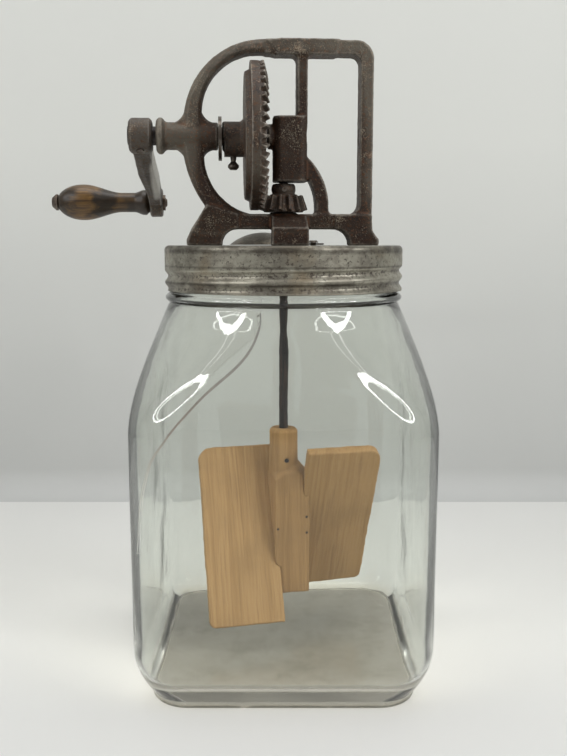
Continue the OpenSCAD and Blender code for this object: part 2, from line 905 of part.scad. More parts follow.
// Ring of bevel teeth with its apex at the origin and its axis down -Z
module bevel_teeth(teeth, cone, first) {
    pitch = 360 / teeth;
    inner_len = cone_len - tooth_face;
    shrink = inner_len / cone_len;
    // Angle and height of each corner of the tooth outline
    marks = [
        for (k = [0:teeth - 1])
            each [
                [first + pitch * (k - root_share), -tooth_root], [first + pitch * (k - tip_share), tooth_top],
                [first + pitch * (k + tip_share), tooth_top], [first + pitch * (k + root_share), -tooth_root]
            ]
    ];
    place = function (a, len, h)
        let (r = len * sin(cone) + h * cos(cone))
        [r * cos(a), r * sin(a), h * sin(cone) - len * cos(cone)];
    skin(
        [
            [for (m = marks) place(m[0], cone_len, -tooth_sunk)],
            [for (m = marks) place(m[0], cone_len, m[1])],
            [for (m = marks) place(m[0], inner_len, m[1] * shrink)],
            [for (m = marks) place(m[0], inner_len, -tooth_sunk)]
        ],
        closed_loop = true
    );
}

// Point on the cone just under the roots, as radius and distance from the apex
function root_cone(cone, len, h) = [len * sin(cone) - h * cos(cone), len * cos(cone) + h * sin(cone)];

module drive_gear() {
    heel = root_cone(gear_cone, cone_len + web_over, tooth_root + web_cover);
    toe = root_cone(gear_cone, cone_len - tooth_face - web_over, tooth_root + web_cover);
    rim_back = gear_web_back - 2.9;
    dish_r = gear_pitch_r - 4.2;
    color([0.25, 0.20, 0.17])
        on_axis()
            difference() {
                union() {
                    rotate([0, 90, 0])
                        bevel_teeth(gear_teeth, gear_cone, 180 / gear_teeth);
                    turned()
                        polygon([
                            [0, gear_hub_front], [gear_hub_r, gear_hub_front],
                            [gear_hub_r + 1, gear_web_front],
                            [toe[0] - 3, gear_web_front], toe, heel, [heel[0], rim_back], [dish_r, rim_back],
                            [dish_r - 1.5, gear_web_back], [gear_hub_r + 2, gear_web_back],
                            [gear_hub_r, gear_web_back + 2], [gear_hub_r, gear_hub_back - 0.8],
                            [gear_hub_r - 0.8, gear_hub_back], [0, gear_hub_back]
                        ]);
                    translate([0, 0, -gear_lobe])
                        axle(gear_web_back - 1, gear_hub_back - 1, gear_hub_r - 0.2);
                }
                axle(gear_hub_front - 1, gear_hub_back + 1, shaft_r + pin_clear);
                translate([-set_screw_x, 0, -gear_hub_r - gear_lobe - 1])
                    cylinder(h = gear_hub_r + gear_lobe + 1, r = set_screw_r + pin_clear);
            }
}

module gear_set_screw() {
    color("gray")
        on_axis()
            translate([-set_screw_x, 0, 0])
                rotate_extrude()
                    polygon([
                        [0, -shaft_r - seat_clear], [set_screw_r, -shaft_r - seat_clear],
                        [set_screw_r, -gear_hub_r - gear_lobe], [set_screw_waist_r, -set_screw_waist_z],
                        [set_screw_head_r, -set_screw_head_z], [set_screw_head_r, 1.2 - set_screw_end_z],
                        [set_screw_end_r, -set_screw_end_z], [0, -set_screw_end_z]
                    ]);
}

module crank_shaft() {
    color("gray")
        on_axis()
            difference() {
                axle(-block_right + 0.5, crank_out + 0.6, shaft_r);
                crank_pin_hole();
            }
}

module thrust_washer() {
    color("darkgray")
        on_axis()
            translate([0, 0, -washer_drop])
                difference() {
                    axle(gear_hub_back + washer_play, gear_hub_back + washer_play + washer_t, washer_r);
                    axle(gear_hub_back, boss_in, washer_hole_r);
                }
}

// The crank as it hangs straight down, swung to its rest angle
module on_crank() {
    on_axis()
        rotate([crank_angle, 0, 0])
            children();
}

module crank_pin_hole() {
    rotate([crank_angle, 0, 0])
        translate([-crank_mid, -crank_hub_r - 1, 0])
            rotate([-90, 0, 0])
                cylinder(h = 2 * crank_hub_r + 2, r = crank_pin_r + pin_clear);
}

// Cross-sections of the arm from the hub to the eye: share of its length, share of its bend,
// thickness along the axis and radius
module arm_station(k) {
    st = arm_stations[k];
    mid = crank_mid - crank_bend * st[1];
    translate([0, 0, -crank_r * st[0]])
        axle(mid - st[2] / 2, mid + st[2] / 2, st[3], $fn = 32);
}

module crank_arm() {
    round_off = 1.4;
    color([0.27, 0.25, 0.23])
        on_crank()
            difference() {
                union() {
                    turned()
                        polygon([
                            [0, crank_in], [crank_hub_r - round_off, crank_in],
                            [crank_hub_r, crank_in + round_off],
                            [crank_hub_r, crank_out - round_off], [crank_hub_r - round_off, crank_out],
                            [0, crank_out]
                        ]);
                    for (k = [0:2])
                        hull() {
                            arm_station(k);
                            arm_station(k + 1);
                        }
                    translate([0, 0, -crank_r])
                        turned()
                            polygon([
                                [0, crank_end_in], [crank_end_r - 0.8, crank_end_in],
                                [crank_end_r, crank_end_in + 0.8], [crank_end_r, crank_end_out - 0.8],
                                [crank_end_r - 0.8, crank_end_out], [0, crank_end_out]
                            ]);
                }
                axle(crank_in - 1, crank_out + 1, shaft_r + pin_clear);
                translate([0, 0, -crank_r])
                    axle(crank_end_in - 5, crank_end_out + 5, rivet_r + pin_clear);
                rotate([-crank_angle, 0, 0])
                    crank_pin_hole();
            }
}

module crank_pin() {
    color("gray")
        on_crank()
            translate([-crank_mid, -crank_hub_r - 0.4, 0])
                rotate([-90, 0, 0])
                    cylinder(h = 2 * crank_hub_r + 0.8, r = crank_pin_r);
}

module handle_rivet() {
    color("gray")
        on_crank()
            translate([0, 0, -crank_r]) {
                axle(crank_end_in - burr_t - eps, grip_out + lift_clear + eps, rivet_r);
                turned()
                    polygon([
                        [0, grip_out + lift_clear], [rivet_head_r, grip_out + lift_clear],
                        [rivet_head_r, grip_out + lift_clear + 1.2],
                        [rivet_head_r * 0.6, grip_out + lift_clear + rivet_head_t],
                        [0, grip_out + lift_clear + rivet_head_t]
                    ]);
                turned()
                    polygon([
                        [0, crank_end_in - burr_t - peen_t], [peen_r * 0.6, crank_end_in - burr_t - peen_t],
                        [peen_r, crank_end_in - burr_t], [0, crank_end_in - burr_t]
                    ]);
            }
}

module handle_burr() {
    color("darkgray")
        on_crank()
            translate([0, 0, -crank_r])
                difference() {
                    axle(crank_end_in - burr_t, crank_end_in, burr_r);
                    axle(crank_end_in - burr_t - 1, crank_end_in + 1, rivet_r + pin_clear);
                }
}

// Turned outline of the grip: radius at a share of its length from the crank
function grip_radius(t) =
    let (
        neck = 0.545 * grip_r,
        swell = ease(t, 0.28, 0.77) - 0.36 * ease(t, 0.80, 1.02) * ease(t, 0.80, 1.02),
        ring = 0.16 * grip_r * ease(t, 0, 0.04) * (1 - ease(t, 0.06, 0.17)),
        tip = sqrt(max(0, 1 - pow(max(0, (t - 0.9) / 0.1), 3) * 0.45))
    )
    (neck + (grip_r - neck) * swell + ring) * tip;

module wood_grip() {
    steps = 30;
    color([0.42, 0.26, 0.14])
        on_crank()
            translate([0, 0, -crank_r])
                difference() {
                    turned()
                        polygon(concat(
                            [[0, grip_in]],
                            [for (k = [0:steps]) [grip_radius(k / steps), grip_in + grip_len * k / steps]],
                            [[0, grip_out]]
                        ));
                    axle(grip_in - 1, grip_out + 1, rivet_r + run_clear);
                }
}

// Dasher

module bevel_pinion() {
    low = axis_h - pinion_low;
    root_h = tooth_root + web_cover;
    heel_len = (low - root_h * sin(pinion_cone)) / cos(pinion_cone);
    heel = root_cone(pinion_cone, heel_len, root_h);
    toe = root_cone(pinion_cone, cone_len - tooth_face - web_over, root_h);
    color([0.20, 0.16, 0.14])
        on_axis()
            difference() {
                union() {
                    bevel_teeth(pinion_teeth, pinion_cone, 180);
                    mirror([0, 0, 1])
                        rotate_extrude()
                            polygon([
                                [0, low], heel, toe,
                                [pinion_hub_r, toe[1] - 0.6], [pinion_hub_r, axis_h - pinion_hub_top],
                                [0, axis_h - pinion_hub_top]
                            ]);
                }
                translate([0, 0, -low - 1])
                    cylinder(h = low + 2, r = rod_r + pin_clear);
                translate([0, 0, pinion_pin_z - axis_h])
                    cross_hole(pinion_hub_r, pinion_pin_r);
            }
}

// A hole for a cross pin from front to back
module cross_hole(reach, r) {
    translate([0, reach + 1, 0])
        rotate([90, 0, 0])
            cylinder(h = 2 * reach + 2, r = r + pin_clear);
}

// A cross pin from front to back, flush with a round of radius reach
module cross_pin(reach, r) {
    translate([0, reach, 0])
        rotate([90, 0, 0])
            cylinder(h = 2 * reach, r = r);
}

module pinion_pin() {
    color("gray")
        on_lid()
            translate([0, 0, pinion_pin_z])
                cross_pin(pinion_hub_r, pinion_pin_r);
}

module on_dasher() {
    rotate([0, 0, paddle_turn])
        children();
}

module on_hub() {
    translate([hub_off, 0, 0])
        children();
}

module dasher_rod() {
    color([0.16, 0.13, 0.12])
        difference() {
            translate([0, 0, rod_low_z])
                cylinder(h = lid_z + rod_top - rod_low_z, r = rod_r);
            on_lid()
                translate([0, 0, pinion_pin_z])
                    cross_hole(pinion_hub_r, pinion_pin_r);
            on_dasher()
                translate([0, 0, hub_pin_z])
                    cross_hole(hub_neck_r, hub_pin_r);
        }
}

// A paddle to the right of the hub, leaning towards the front at the top
module paddle_board(left, grow) {
    outer = paddle_in + paddle_w;
    half = (left ? left_len : right_len) / 2;
    translate([0, 0, paddle_z(left)])
        rotate([paddle_lean, 0, 0])
            plate(paddle_t + 2 * grow)
                difference() {
                    translate([paddle_in - grow, -half - grow])
                        square([paddle_w + 2 * grow, 2 * half + 2 * grow]);
                    corner_fill(outer + grow, half + grow, -1, -1, paddle_top_r);
                    corner_fill(outer + grow, -half - grow, -1, 1, paddle_low_r);
                }
}

module each_paddle(left) {
    on_hub()
        rotate([0, 0, left ? 180 : 0])
            children();
}

module nail_holes(grow) {
    for (left = [false, true], s = [-1, 1])
        each_paddle(left)
            translate([nail_x, hub_w / 2 + (grow > 0 ? 1 : 0), paddle_z(left) + s * nail_step / 2])
                rotate([90, 0, 0])
                    cylinder(h = hub_w + (grow > 0 ? 2 : 0), r = nail_r + grow);
}

function paddle_z(left) = left ? left_paddle_z : right_paddle_z;

module dasher_hub() {
    color([0.72, 0.57, 0.38])
        on_dasher()
            difference() {
                union() {
                    on_hub()
                        intersection() {
                            translate([-hub_w / 2, -hub_w / 2, hub_z])
                                cube([hub_w, hub_w, hub_square_h + hub_taper_h]);
                            translate([0, 0, hub_z])
                                rotate_extrude()
                                    polygon([
                                        [0, 0], [hub_w, 0], [hub_w, hub_square_h - 6],
                                        [hub_w * 0.62, hub_square_h],
                                        [taper_top_r, hub_square_h + hub_taper_h],
                                        [0, hub_square_h + hub_taper_h]
                                    ]);
                        }
                    translate([0, 0, hub_square_z])
                        rotate_extrude()
                            polygon([
                                [0, 0], [hub_neck_r, 0], [hub_neck_r, hub_neck_h - 1.5],
                                [hub_neck_r - 1.5, hub_neck_h], [0, hub_neck_h]
                            ]);
                }
                translate([0, 0, rod_low_z - lift_clear])
                    cylinder(h = hub_top_z, r = rod_r + pin_clear);
                translate([0, 0, hub_pin_z])
                    cross_hole(hub_neck_r, hub_pin_r);
                for (left = [false, true])
                    each_paddle(left)
                        paddle_board(left, seat_clear);
                nail_holes(pin_clear);
            }
}

module hub_pin() {
    color("dimgray")
        on_dasher()
            translate([0, 0, hub_pin_z])
                cross_pin(hub_neck_r, hub_pin_r);
}

module left_paddle() {
    color([0.76, 0.62, 0.42])
        on_dasher()
            difference() {
                each_paddle(true)
                    paddle_board(true, 0);
                nail_holes(pin_clear);
            }
}

module right_paddle() {
    color([0.74, 0.60, 0.40])
        on_dasher()
            difference() {
                each_paddle(false)
                    paddle_board(false, 0);
                nail_holes(pin_clear);
            }
}

module paddle_nails() {
    color("dimgray")
        on_dasher()
            nail_holes(0);
}

glass_jar();
rim_gasket();
lid_cap();
gear_frame();
frame_screws();
shaft_ferrule();
vent_screen();
vent_rivet();
vent_cover();
crank_shaft();
thrust_washer();
drive_gear();
gear_set_screw();
crank_arm();
crank_pin();
handle_rivet();
handle_burr();
wood_grip();
bevel_pinion();
pinion_pin();
dasher_rod();
dasher_hub();
hub_pin();
left_paddle();
right_paddle();
paddle_nails();
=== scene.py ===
# %% [markdown]
# # A glass jar butter churn
# The churn is a square glass jar with a screwed tin lid. On the lid stands an iron casting that
# carries a crank, a pair of bevel gears and a rod, and the rod turns a wooden dasher in the jar.
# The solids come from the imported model. This lesson gives each of them its surface: some keep
# their solid and get a finish, and others are replaced by a finer mesh of the same form.

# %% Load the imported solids
import math

import bmesh
import bpy
import numpy as np
from mathutils import Matrix, Vector, noise


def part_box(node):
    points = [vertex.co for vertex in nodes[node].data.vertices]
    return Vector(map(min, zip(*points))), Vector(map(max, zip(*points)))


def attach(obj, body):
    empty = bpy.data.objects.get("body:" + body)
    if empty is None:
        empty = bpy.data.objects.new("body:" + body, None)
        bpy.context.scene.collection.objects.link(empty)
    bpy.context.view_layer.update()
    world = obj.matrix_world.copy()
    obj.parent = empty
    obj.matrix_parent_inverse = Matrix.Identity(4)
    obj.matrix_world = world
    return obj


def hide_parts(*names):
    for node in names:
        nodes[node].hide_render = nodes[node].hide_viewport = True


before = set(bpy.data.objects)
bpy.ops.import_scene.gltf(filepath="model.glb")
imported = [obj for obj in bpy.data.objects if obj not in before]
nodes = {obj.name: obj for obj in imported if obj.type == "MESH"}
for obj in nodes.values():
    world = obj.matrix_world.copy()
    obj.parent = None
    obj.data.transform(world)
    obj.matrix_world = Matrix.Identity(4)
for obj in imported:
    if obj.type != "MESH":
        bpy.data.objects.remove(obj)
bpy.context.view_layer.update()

MM = 0.001
scene = bpy.context.scene

# %% [markdown]
# ## The camera
# The photograph was taken a little above the lid, with the lens tipped down by about nine
# degrees. A camera that is fixed before any piece is made lets every render be laid over the
# photograph, so it comes first.

# %% Camera
PHOTO_W, FOCAL_PX, SENSOR_W = 567, 868, 36
CAMERA_AT, CAMERA_TIP = (0, -0.469, 0.228), 8.7
lens = bpy.data.cameras.new("photo_camera")
lens.sensor_fit = "HORIZONTAL"
lens.sensor_width = SENSOR_W
lens.lens = FOCAL_PX * SENSOR_W / PHOTO_W
lens.clip_start = 0.01
camera = bpy.data.objects.new("photo_camera", lens)
camera.location = CAMERA_AT
camera.rotation_euler = (math.radians(90 - CAMERA_TIP), 0, 0)
scene.collection.objects.link(camera)
scene.camera = camera
print("lens", round(lens.lens, 2), "mm")

# %% [markdown]
# ## Sizes
# The finer meshes follow the same rules as the solids, so the lengths that shape them are
# repeated here in millimetres. Where a level can be read from a solid's own box, it is.

# %% Sizes shared with the solids
JAR_W, JAR_CORNER, JAR_WALL, JAR_BODY, JAR_SHOULDER = 152.4, 24.0, 4.0, 137.0, 61.0
HEEL_H, HEEL_IN, FOOT_H, FOOT_EDGE, FOOT_CORNER = 24.0, 9.0, 3.0, 1.2, 20.0
FLOOR_T, INNER_HEEL_H, BEAD_H, BEAD_OUT = 12.0, 15.0, 6.0, 2.8
NECK_R, MOUTH_R, PITCH, THREAD_H, THREAD_PLAY, ROLL = 60.2, 56.5, 6.6, 1.4, 0.4, 1.7
TIN, LID_H, LID_EDGE, TURN = 0.8, 23.4, 2.4, 4.0
SHOULDER_Z = JAR_BODY + JAR_SHOULDER
RIM_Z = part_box("glass_jar")[1].z / MM
LID_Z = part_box("lid_cap")[1].z / MM
LID_LOW = LID_Z - LID_H
LID_R = NECK_R + THREAD_PLAY + ROLL + TIN
THREAD_LOW, THREAD_LEN, THREAD_MID = LID_LOW + 2.2, 11.0, LID_Z - 15.9
shaft_low, shaft_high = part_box("crank_shaft")
AXIS_Z = (shaft_low.z + shaft_high.z) / 2 / MM
print("rim", round(RIM_Z, 2), "lid top", round(LID_Z, 2), "crank axis", round(AXIS_Z, 2))

# %% [markdown]
# ## Small helpers
# A lathe or a loft is a stack of rings of points. One function skins the rings with quads, another makes an
# object of a mesh, and a third runs an object's modifiers and keeps the result as a plain mesh, because the
# export wants plain meshes at the origin. The last one gives a finished piece its material and the body that it
# rides on, and hides the node that it stands for.

# %% Mesh helpers
def ease(v, lo, hi):
    t = np.clip((v - lo) / (hi - lo), 0, 1)
    return t * t * (3 - 2 * t)


def ring_of(r, angle, z):
    """A level ring of points, from one radius or from one for each angle."""
    return np.stack([r * np.cos(angle), r * np.sin(angle), np.full_like(angle, z)], -1)


def shade(mesh, smooth=True):
    mesh.polygons.foreach_set("use_smooth", [smooth] * len(mesh.polygons))


def skin(name, rings, closed_loop=False, smooth=True):
    """A mesh over rings of equal length, in millimetres, that go up outside and down inside."""
    rings = np.asarray(rings, float) * MM
    m, n = rings.shape[:2]
    j = np.arange(m if closed_loop else m - 1)[:, None]
    i = np.arange(n)[None, :]
    k, up = (i + 1) % n, (j + 1) % m
    quads = np.stack([j * n + i, j * n + k, up * n + k, up * n + i], -1).reshape(-1, 4).tolist()
    if not closed_loop:
        quads += [list(range(n - 1, -1, -1)), [(m - 1) * n + q for q in range(n)]]
    mesh = bpy.data.meshes.new(name)
    mesh.from_pydata(rings.reshape(-1, 3).tolist(), [], quads)
    shade(mesh, smooth)
    mesh.update()
    return mesh


def make(name, mesh):
    """A new object at the origin."""
    obj = bpy.data.objects.new(name, mesh)
    scene.collection.objects.link(obj)
    return obj


def settle(obj):
    """Run the object's modifiers and keep the result as its own plain mesh."""
    view = bpy.context.evaluated_depsgraph_get()
    mesh = bpy.data.meshes.new_from_object(obj.evaluated_get(view))
    obj.modifiers.clear()
    obj.data = mesh
    return obj


def merged_copy(node, name):
    """A new object with a welded copy of a solid's mesh."""
    bm = bmesh.new()
    bm.from_mesh(nodes[node].data)
    bmesh.ops.remove_doubles(bm, verts=bm.verts, dist=2e-6)
    mesh = bpy.data.meshes.new(name)
    bm.to_mesh(mesh)
    bm.free()
    mesh.materials.clear()
    return make(name, mesh)


def face_out(mesh, *others):
    """Take other meshes into this one, and turn all its faces outwards."""
    bm = bmesh.new()
    for one in (mesh, *others):
        bm.from_mesh(one)
    bmesh.ops.recalc_face_normals(bm, faces=bm.faces)
    bm.to_mesh(mesh)
    bm.free()


def coords(mesh):
    co = np.zeros(len(mesh.vertices) * 3, np.float32)
    mesh.vertices.foreach_get("co", co)
    return co.reshape(-1, 3).astype(float)


def normals(mesh):
    out = np.zeros(len(mesh.vertices) * 3, np.float32)
    mesh.vertex_normals.foreach_get("vector", out)
    return out.reshape(-1, 3).astype(float)


def move(mesh, co):
    mesh.vertices.foreach_set("co", co.astype(np.float32).ravel())
    mesh.update()


def keep(mesh, name, values):
    """Keep one number for each vertex on the mesh, where a finish can read it."""
    mesh.attributes.new(name, "FLOAT", "POINT").data.foreach_set("value", values.astype(np.float32))


def lumps(co, size_mm, seed):
    """Smooth noise from -1 to 1 at each point, with lumps of about the given size."""
    shift = Vector((seed * 3.7, seed * 1.3, seed * 2.1))
    step = 1 / (size_mm * MM)
    return np.array([noise.noise(Vector(p) * step + shift) for p in co])


def dress(obj, node, body, finish):
    """Give a finished piece its material and its body, and hide the node that it stands for."""
    obj.data.materials.clear()
    obj.data.materials.append(finish)
    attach(obj, body)
    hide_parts(node)
    print(obj.name, len(obj.data.polygons), "faces")


print("mesh helpers ready")

# %% [markdown]
# ## Worn edges
# Handling rubs cast iron bright on its ridges and leaves rust in its hollows. Each vertex is
# compared with the mean of its neighbours: outside it means a ridge, inside it a hollow. The
# result is kept on the mesh as two attributes, which the iron, tin and wood finishes read.

# %% Ridge and hollow attributes
def neighbour_mean(mesh):
    """A function that averages values over each vertex's neighbours."""
    edges = np.zeros(len(mesh.edges) * 2, np.int32)
    mesh.edges.foreach_get("vertices", edges)
    a, b = edges.reshape(-1, 2).T
    total = len(mesh.vertices)
    count = np.maximum(np.bincount(a, minlength=total) + np.bincount(b, minlength=total), 1)

    def mean(values):
        columns = [np.bincount(a, v[b], total) + np.bincount(b, v[a], total) for v in values.T]
        return np.stack(columns, -1) / count[:, None]

    return mean


def soften(mesh, rounds, weight=1.0):
    """Round the edges: each smoothing step is followed by one that swells the form back."""
    mean, co = neighbour_mean(mesh), coords(mesh)
    for _ in range(rounds):
        co = co + 0.5 * weight * (mean(co) - co)
        co = co - 0.52 * weight * (mean(co) - co)
    move(mesh, co)


def mark_wear(mesh, reach_mm, rounds=6):
    mean, co = neighbour_mean(mesh), coords(mesh)
    soft = co
    for _ in range(rounds):
        soft = mean(soft)
    bend = np.einsum("ij,ij->i", co - soft, normals(mesh)) / (reach_mm * MM)
    keep(mesh, "ridge", np.clip(bend, 0, 1))
    keep(mesh, "hollow", np.clip(-bend, 0, 1))


def cast_skin(obj, node, voxel_mm, rounds, grain_mm, reach_mm=0.5, seed=1):
    """A casting's skin over a form: its edges rounded, its faces rough, inside the node's own box."""
    remesh = obj.modifiers.new("skin", "REMESH")
    remesh.mode = "VOXEL"
    remesh.voxel_size = voxel_mm * MM
    settle(obj)
    mesh = obj.data
    shade(mesh)
    soften(mesh, rounds)
    mark_wear(mesh, reach_mm)
    co = coords(mesh)
    rough = 0.6 * lumps(co, 2.6, seed) + 0.4 * lumps(co, 1.1, seed + 5)
    co += normals(mesh) * (rough * grain_mm * MM)[:, None]
    low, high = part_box(node)
    move(mesh, np.clip(co, np.array(low), np.array(high)))
    return obj


print("wear helpers ready")

# %% [markdown]
# ## Nodes and colours
# Colours are written as the hex values that a picture editor shows, and one function turns them
# into the linear values that Blender mixes. One other function adds a shader node, gives it its
# settings, and links whatever is passed as a socket or a node. The short functions after it name
# the few kinds of node that every finish is made of.

# %% Colour and node helpers
# The output that each kind of node is used for here. Any other kind is used for its first
MAIN_OUTPUT = {"ShaderNodeAttribute": "Fac", "ShaderNodeTexNoise": "Fac", "ShaderNodeMix": "Result",
               "ShaderNodeValToRGB": "Color", "ShaderNodeBump": "Normal"}


def paint(code):
    parts = [int(code[i:i + 2], 16) / 255 for i in (1, 3, 5)]
    return tuple(p / 12.92 if p <= 0.04045 else ((p + 0.055) / 1.055) ** 2.4 for p in parts) + (1.0,)


def put(tree, kind, inputs=None, stops=None, **settings):
    """Add one node: settings are its own properties, inputs are constants, or sockets or nodes to link."""
    node = tree.nodes.new(kind)
    for key, value in settings.items():
        setattr(node, key, value)
    if stops:
        elements = node.color_ramp.elements
        while len(elements) < len(stops):
            elements.new(0.5)
        for element, (place, code) in zip(elements, stops):
            element.position = place
            element.color = paint(code)
    for key, value in (inputs or {}).items():
        if isinstance(value, bpy.types.Node):
            value = value.outputs[MAIN_OUTPUT.get(value.bl_idname, 0)]
        if isinstance(value, bpy.types.NodeSocket):
            tree.links.new(value, node.inputs[key])
        else:
            node.inputs[key].default_value = value
    return node


def finish_named(name):
    """An empty material, the tree to build in and the place on the object."""
    material = bpy.data.materials.new(name)
    material.use_nodes = True
    tree = material.node_tree
    tree.nodes.clear()
    return material, tree, put(tree, "ShaderNodeTexCoord").outputs["Object"]


def per_mm(size):
    """Noise scale whose features are about the given number of millimetres."""
    return 1 / (size * MM)


def mottle(tree, at, size, detail, rough=0.5):
    """Noise with features of one size in millimetres."""
    return put(tree, "ShaderNodeTexNoise", {"Vector": at, "Scale": per_mm(size), "Detail": detail,
                                            "Roughness": rough})


def streaky(tree, at, sizes, detail, rough=0.5, warp=0.0):
    """Noise that is drawn out, with a size in millimetres for each axis."""
    place = put(tree, "ShaderNodeMapping", {"Vector": at, "Scale": tuple(per_mm(size) for size in sizes)})
    return put(tree, "ShaderNodeTexNoise", {"Vector": place, "Scale": 1.0, "Detail": detail, "Roughness": rough,
                                            "Distortion": warp})


def turned(tree, at, angles):
    """The place on the object, turned by an angle in degrees about each axis."""
    return put(tree, "ShaderNodeMapping", {"Vector": at, "Rotation": tuple(math.radians(a) for a in angles)})


def attribute(tree, name):
    return put(tree, "ShaderNodeAttribute", attribute_name=name)


def level(tree, at, axis="Z"):
    return put(tree, "ShaderNodeSeparateXYZ", {"Vector": at}).outputs[axis]


def remap(tree, value, lo, hi, to_lo=0.0, to_hi=1.0):
    return put(tree, "ShaderNodeMapRange", {"Value": value, "From Min": lo, "From Max": hi, "To Min": to_lo,
                                            "To Max": to_hi})


def work(tree, operation, *values, **settings):
    return put(tree, "ShaderNodeMath", dict(enumerate(values)), operation=operation, **settings)


def ramp(tree, value, *stops):
    return put(tree, "ShaderNodeValToRGB", {"Fac": value}, stops=stops)


def blend(tree, share, under, over):
    """One colour over another by a share. The upper one may be a hex code."""
    over = paint(over) if isinstance(over, str) else over
    return put(tree, "ShaderNodeMix", {"Factor": share, "A": under, "B": over}, data_type="RGBA")


def bumps(tree, height, strength, depth):
    return put(tree, "ShaderNodeBump", {"Height": height, "Strength": strength, "Distance": depth * MM})


def close(tree, shader):
    put(tree, "ShaderNodeOutputMaterial", {"Surface": shader})


def coat(tree, inputs):
    close(tree, put(tree, "ShaderNodeBsdfPrincipled", inputs))


print("node helpers ready")

# %% [markdown]
# ## Rusted cast iron
# The frame, the gears and the crank are sand-cast grey iron that has rusted and been handled for many years. The
# skin is nearly black, brown rust lies on it in patches of about a centimetre, pits of a millimetre break up the
# shine, and the ridges are rubbed to dull grey metal. Faces that hands reach have gone grey, and fine pale flecks
# of old coating sit on them. Some attributes say where: "bare" is a stretch that is polished to plain metal, as
# the middle of the crank is, "rim" is wiped grey and painted lighter as painted light, "inside" is caked with
# dark rust and painted darker as painted shade, and "salt" has more of the flecks, which on the plaque are
# painted highlight.

# %% Cast iron finish
# The dark crust is rust and painted shade.
CRUST_AND_SHADE, FLECK = "#2a170c", "#a89d88"


def cast_iron(name, dark, brown, rust, grey, bare, rub=1.0, glow=0.42):
    material, tree, at = finish_named(name)
    patches = mottle(tree, at, 9, 6.0, 0.62)
    pits = mottle(tree, at, 1.3, 3.0, 0.6)
    fine = mottle(tree, at, 0.55, 2.0)
    broad = mottle(tree, at, 26, 3.0, 0.55)
    chips = mottle(tree, at, 0.65, 4.0, 0.7)
    ridge, hollow, bare_part, rim, inside, salt = (
        attribute(tree, key) for key in ("ridge", "hollow", "bare", "rim", "inside", "salt"))
    handled = remap(tree, broad, 0.44, 0.62, 0.0, 0.7)
    colour = ramp(tree, patches, (0.32, dark), (0.47, brown), (0.56, dark), (0.68, rust))
    colour = blend(tree, handled, colour, grey)
    colour = blend(tree, remap(tree, pits, 0.52, 0.68), colour, rust)
    # Grey on the rim: wear from hands, and painted light.
    colour = blend(tree, work(tree, "MULTIPLY", rim, broad), colour, grey)
    # Dark crust where the iron is inside: rust, and painted shade.
    caked_and_shaded = remap(tree, work(tree, "MULTIPLY", inside, patches), 0.15, 0.6, 0.0, 0.9)
    colour = blend(tree, caked_and_shaded, colour, CRUST_AND_SHADE)
    colour = blend(tree, remap(tree, hollow, 0.10, 0.7, 0.0, 0.75), colour, rust)
    edges = remap(tree, work(tree, "MULTIPLY", ridge, pits), 0.10, 0.42, 0.0, 0.85 * rub)
    polished = remap(tree, work(tree, "MULTIPLY", bare_part, broad), 0.2, 0.5, 0.0, 0.9)
    worn = work(tree, "MAXIMUM", edges, polished)
    colour = blend(tree, worn, colour, bare)
    cluster = remap(tree, patches, 0.45, 0.66, -0.07, 0.06)
    crumbs = work(tree, "ADD", chips, work(tree, "MULTIPLY_ADD", salt, 0.075, cluster))
    colour = blend(tree, remap(tree, crumbs, 0.57, 0.66, 0.0, 0.55), colour, FLECK)
    metal = remap(tree, worn, 0.0, 1.0, 0.35, 0.8)
    coat(tree, {
        "Base Color": colour, "Metallic": work(tree, "MULTIPLY_ADD", handled, 0.4, metal),
        "Roughness": remap(tree, pits, 0.3, 0.7, glow, glow + 0.26),
        "Normal": bumps(tree, work(tree, "ADD", pits, fine), 0.55, 0.35)})
    return material


frame_iron = cast_iron("rusted_cast_iron", "#1b1410", "#3d2d1c", "#6e4324", "#655f55", "#a8a297", rub=0.7)
gear_iron = cast_iron("rusted_gear_iron", "#2e2723", "#4a3d33", "#5c412f", "#665e54", "#aea79c")
crank_iron = cast_iron("handled_crank_iron", "#332c28", "#4b423b", "#56412f", "#5b554e", "#bab7b1", glow=0.34)
print("cast iron:", frame_iron.name, gear_iron.name, crank_iron.name)

# %% [markdown]
# ## Worn tinplate
# The lid and the vent cover are tinned sheet steel. The tin has gone grey and cloudy, is rubbed brighter in
# places, is paler along its ridges as rubbed tin and painted highlight, and shows brown pinholes where the steel
# has rusted through. On the lid, it is darker along the top edge, in the grooves and along the lower edge, broken
# up by the pits.

# %% Tinplate finish
WOBBLE = 0.6


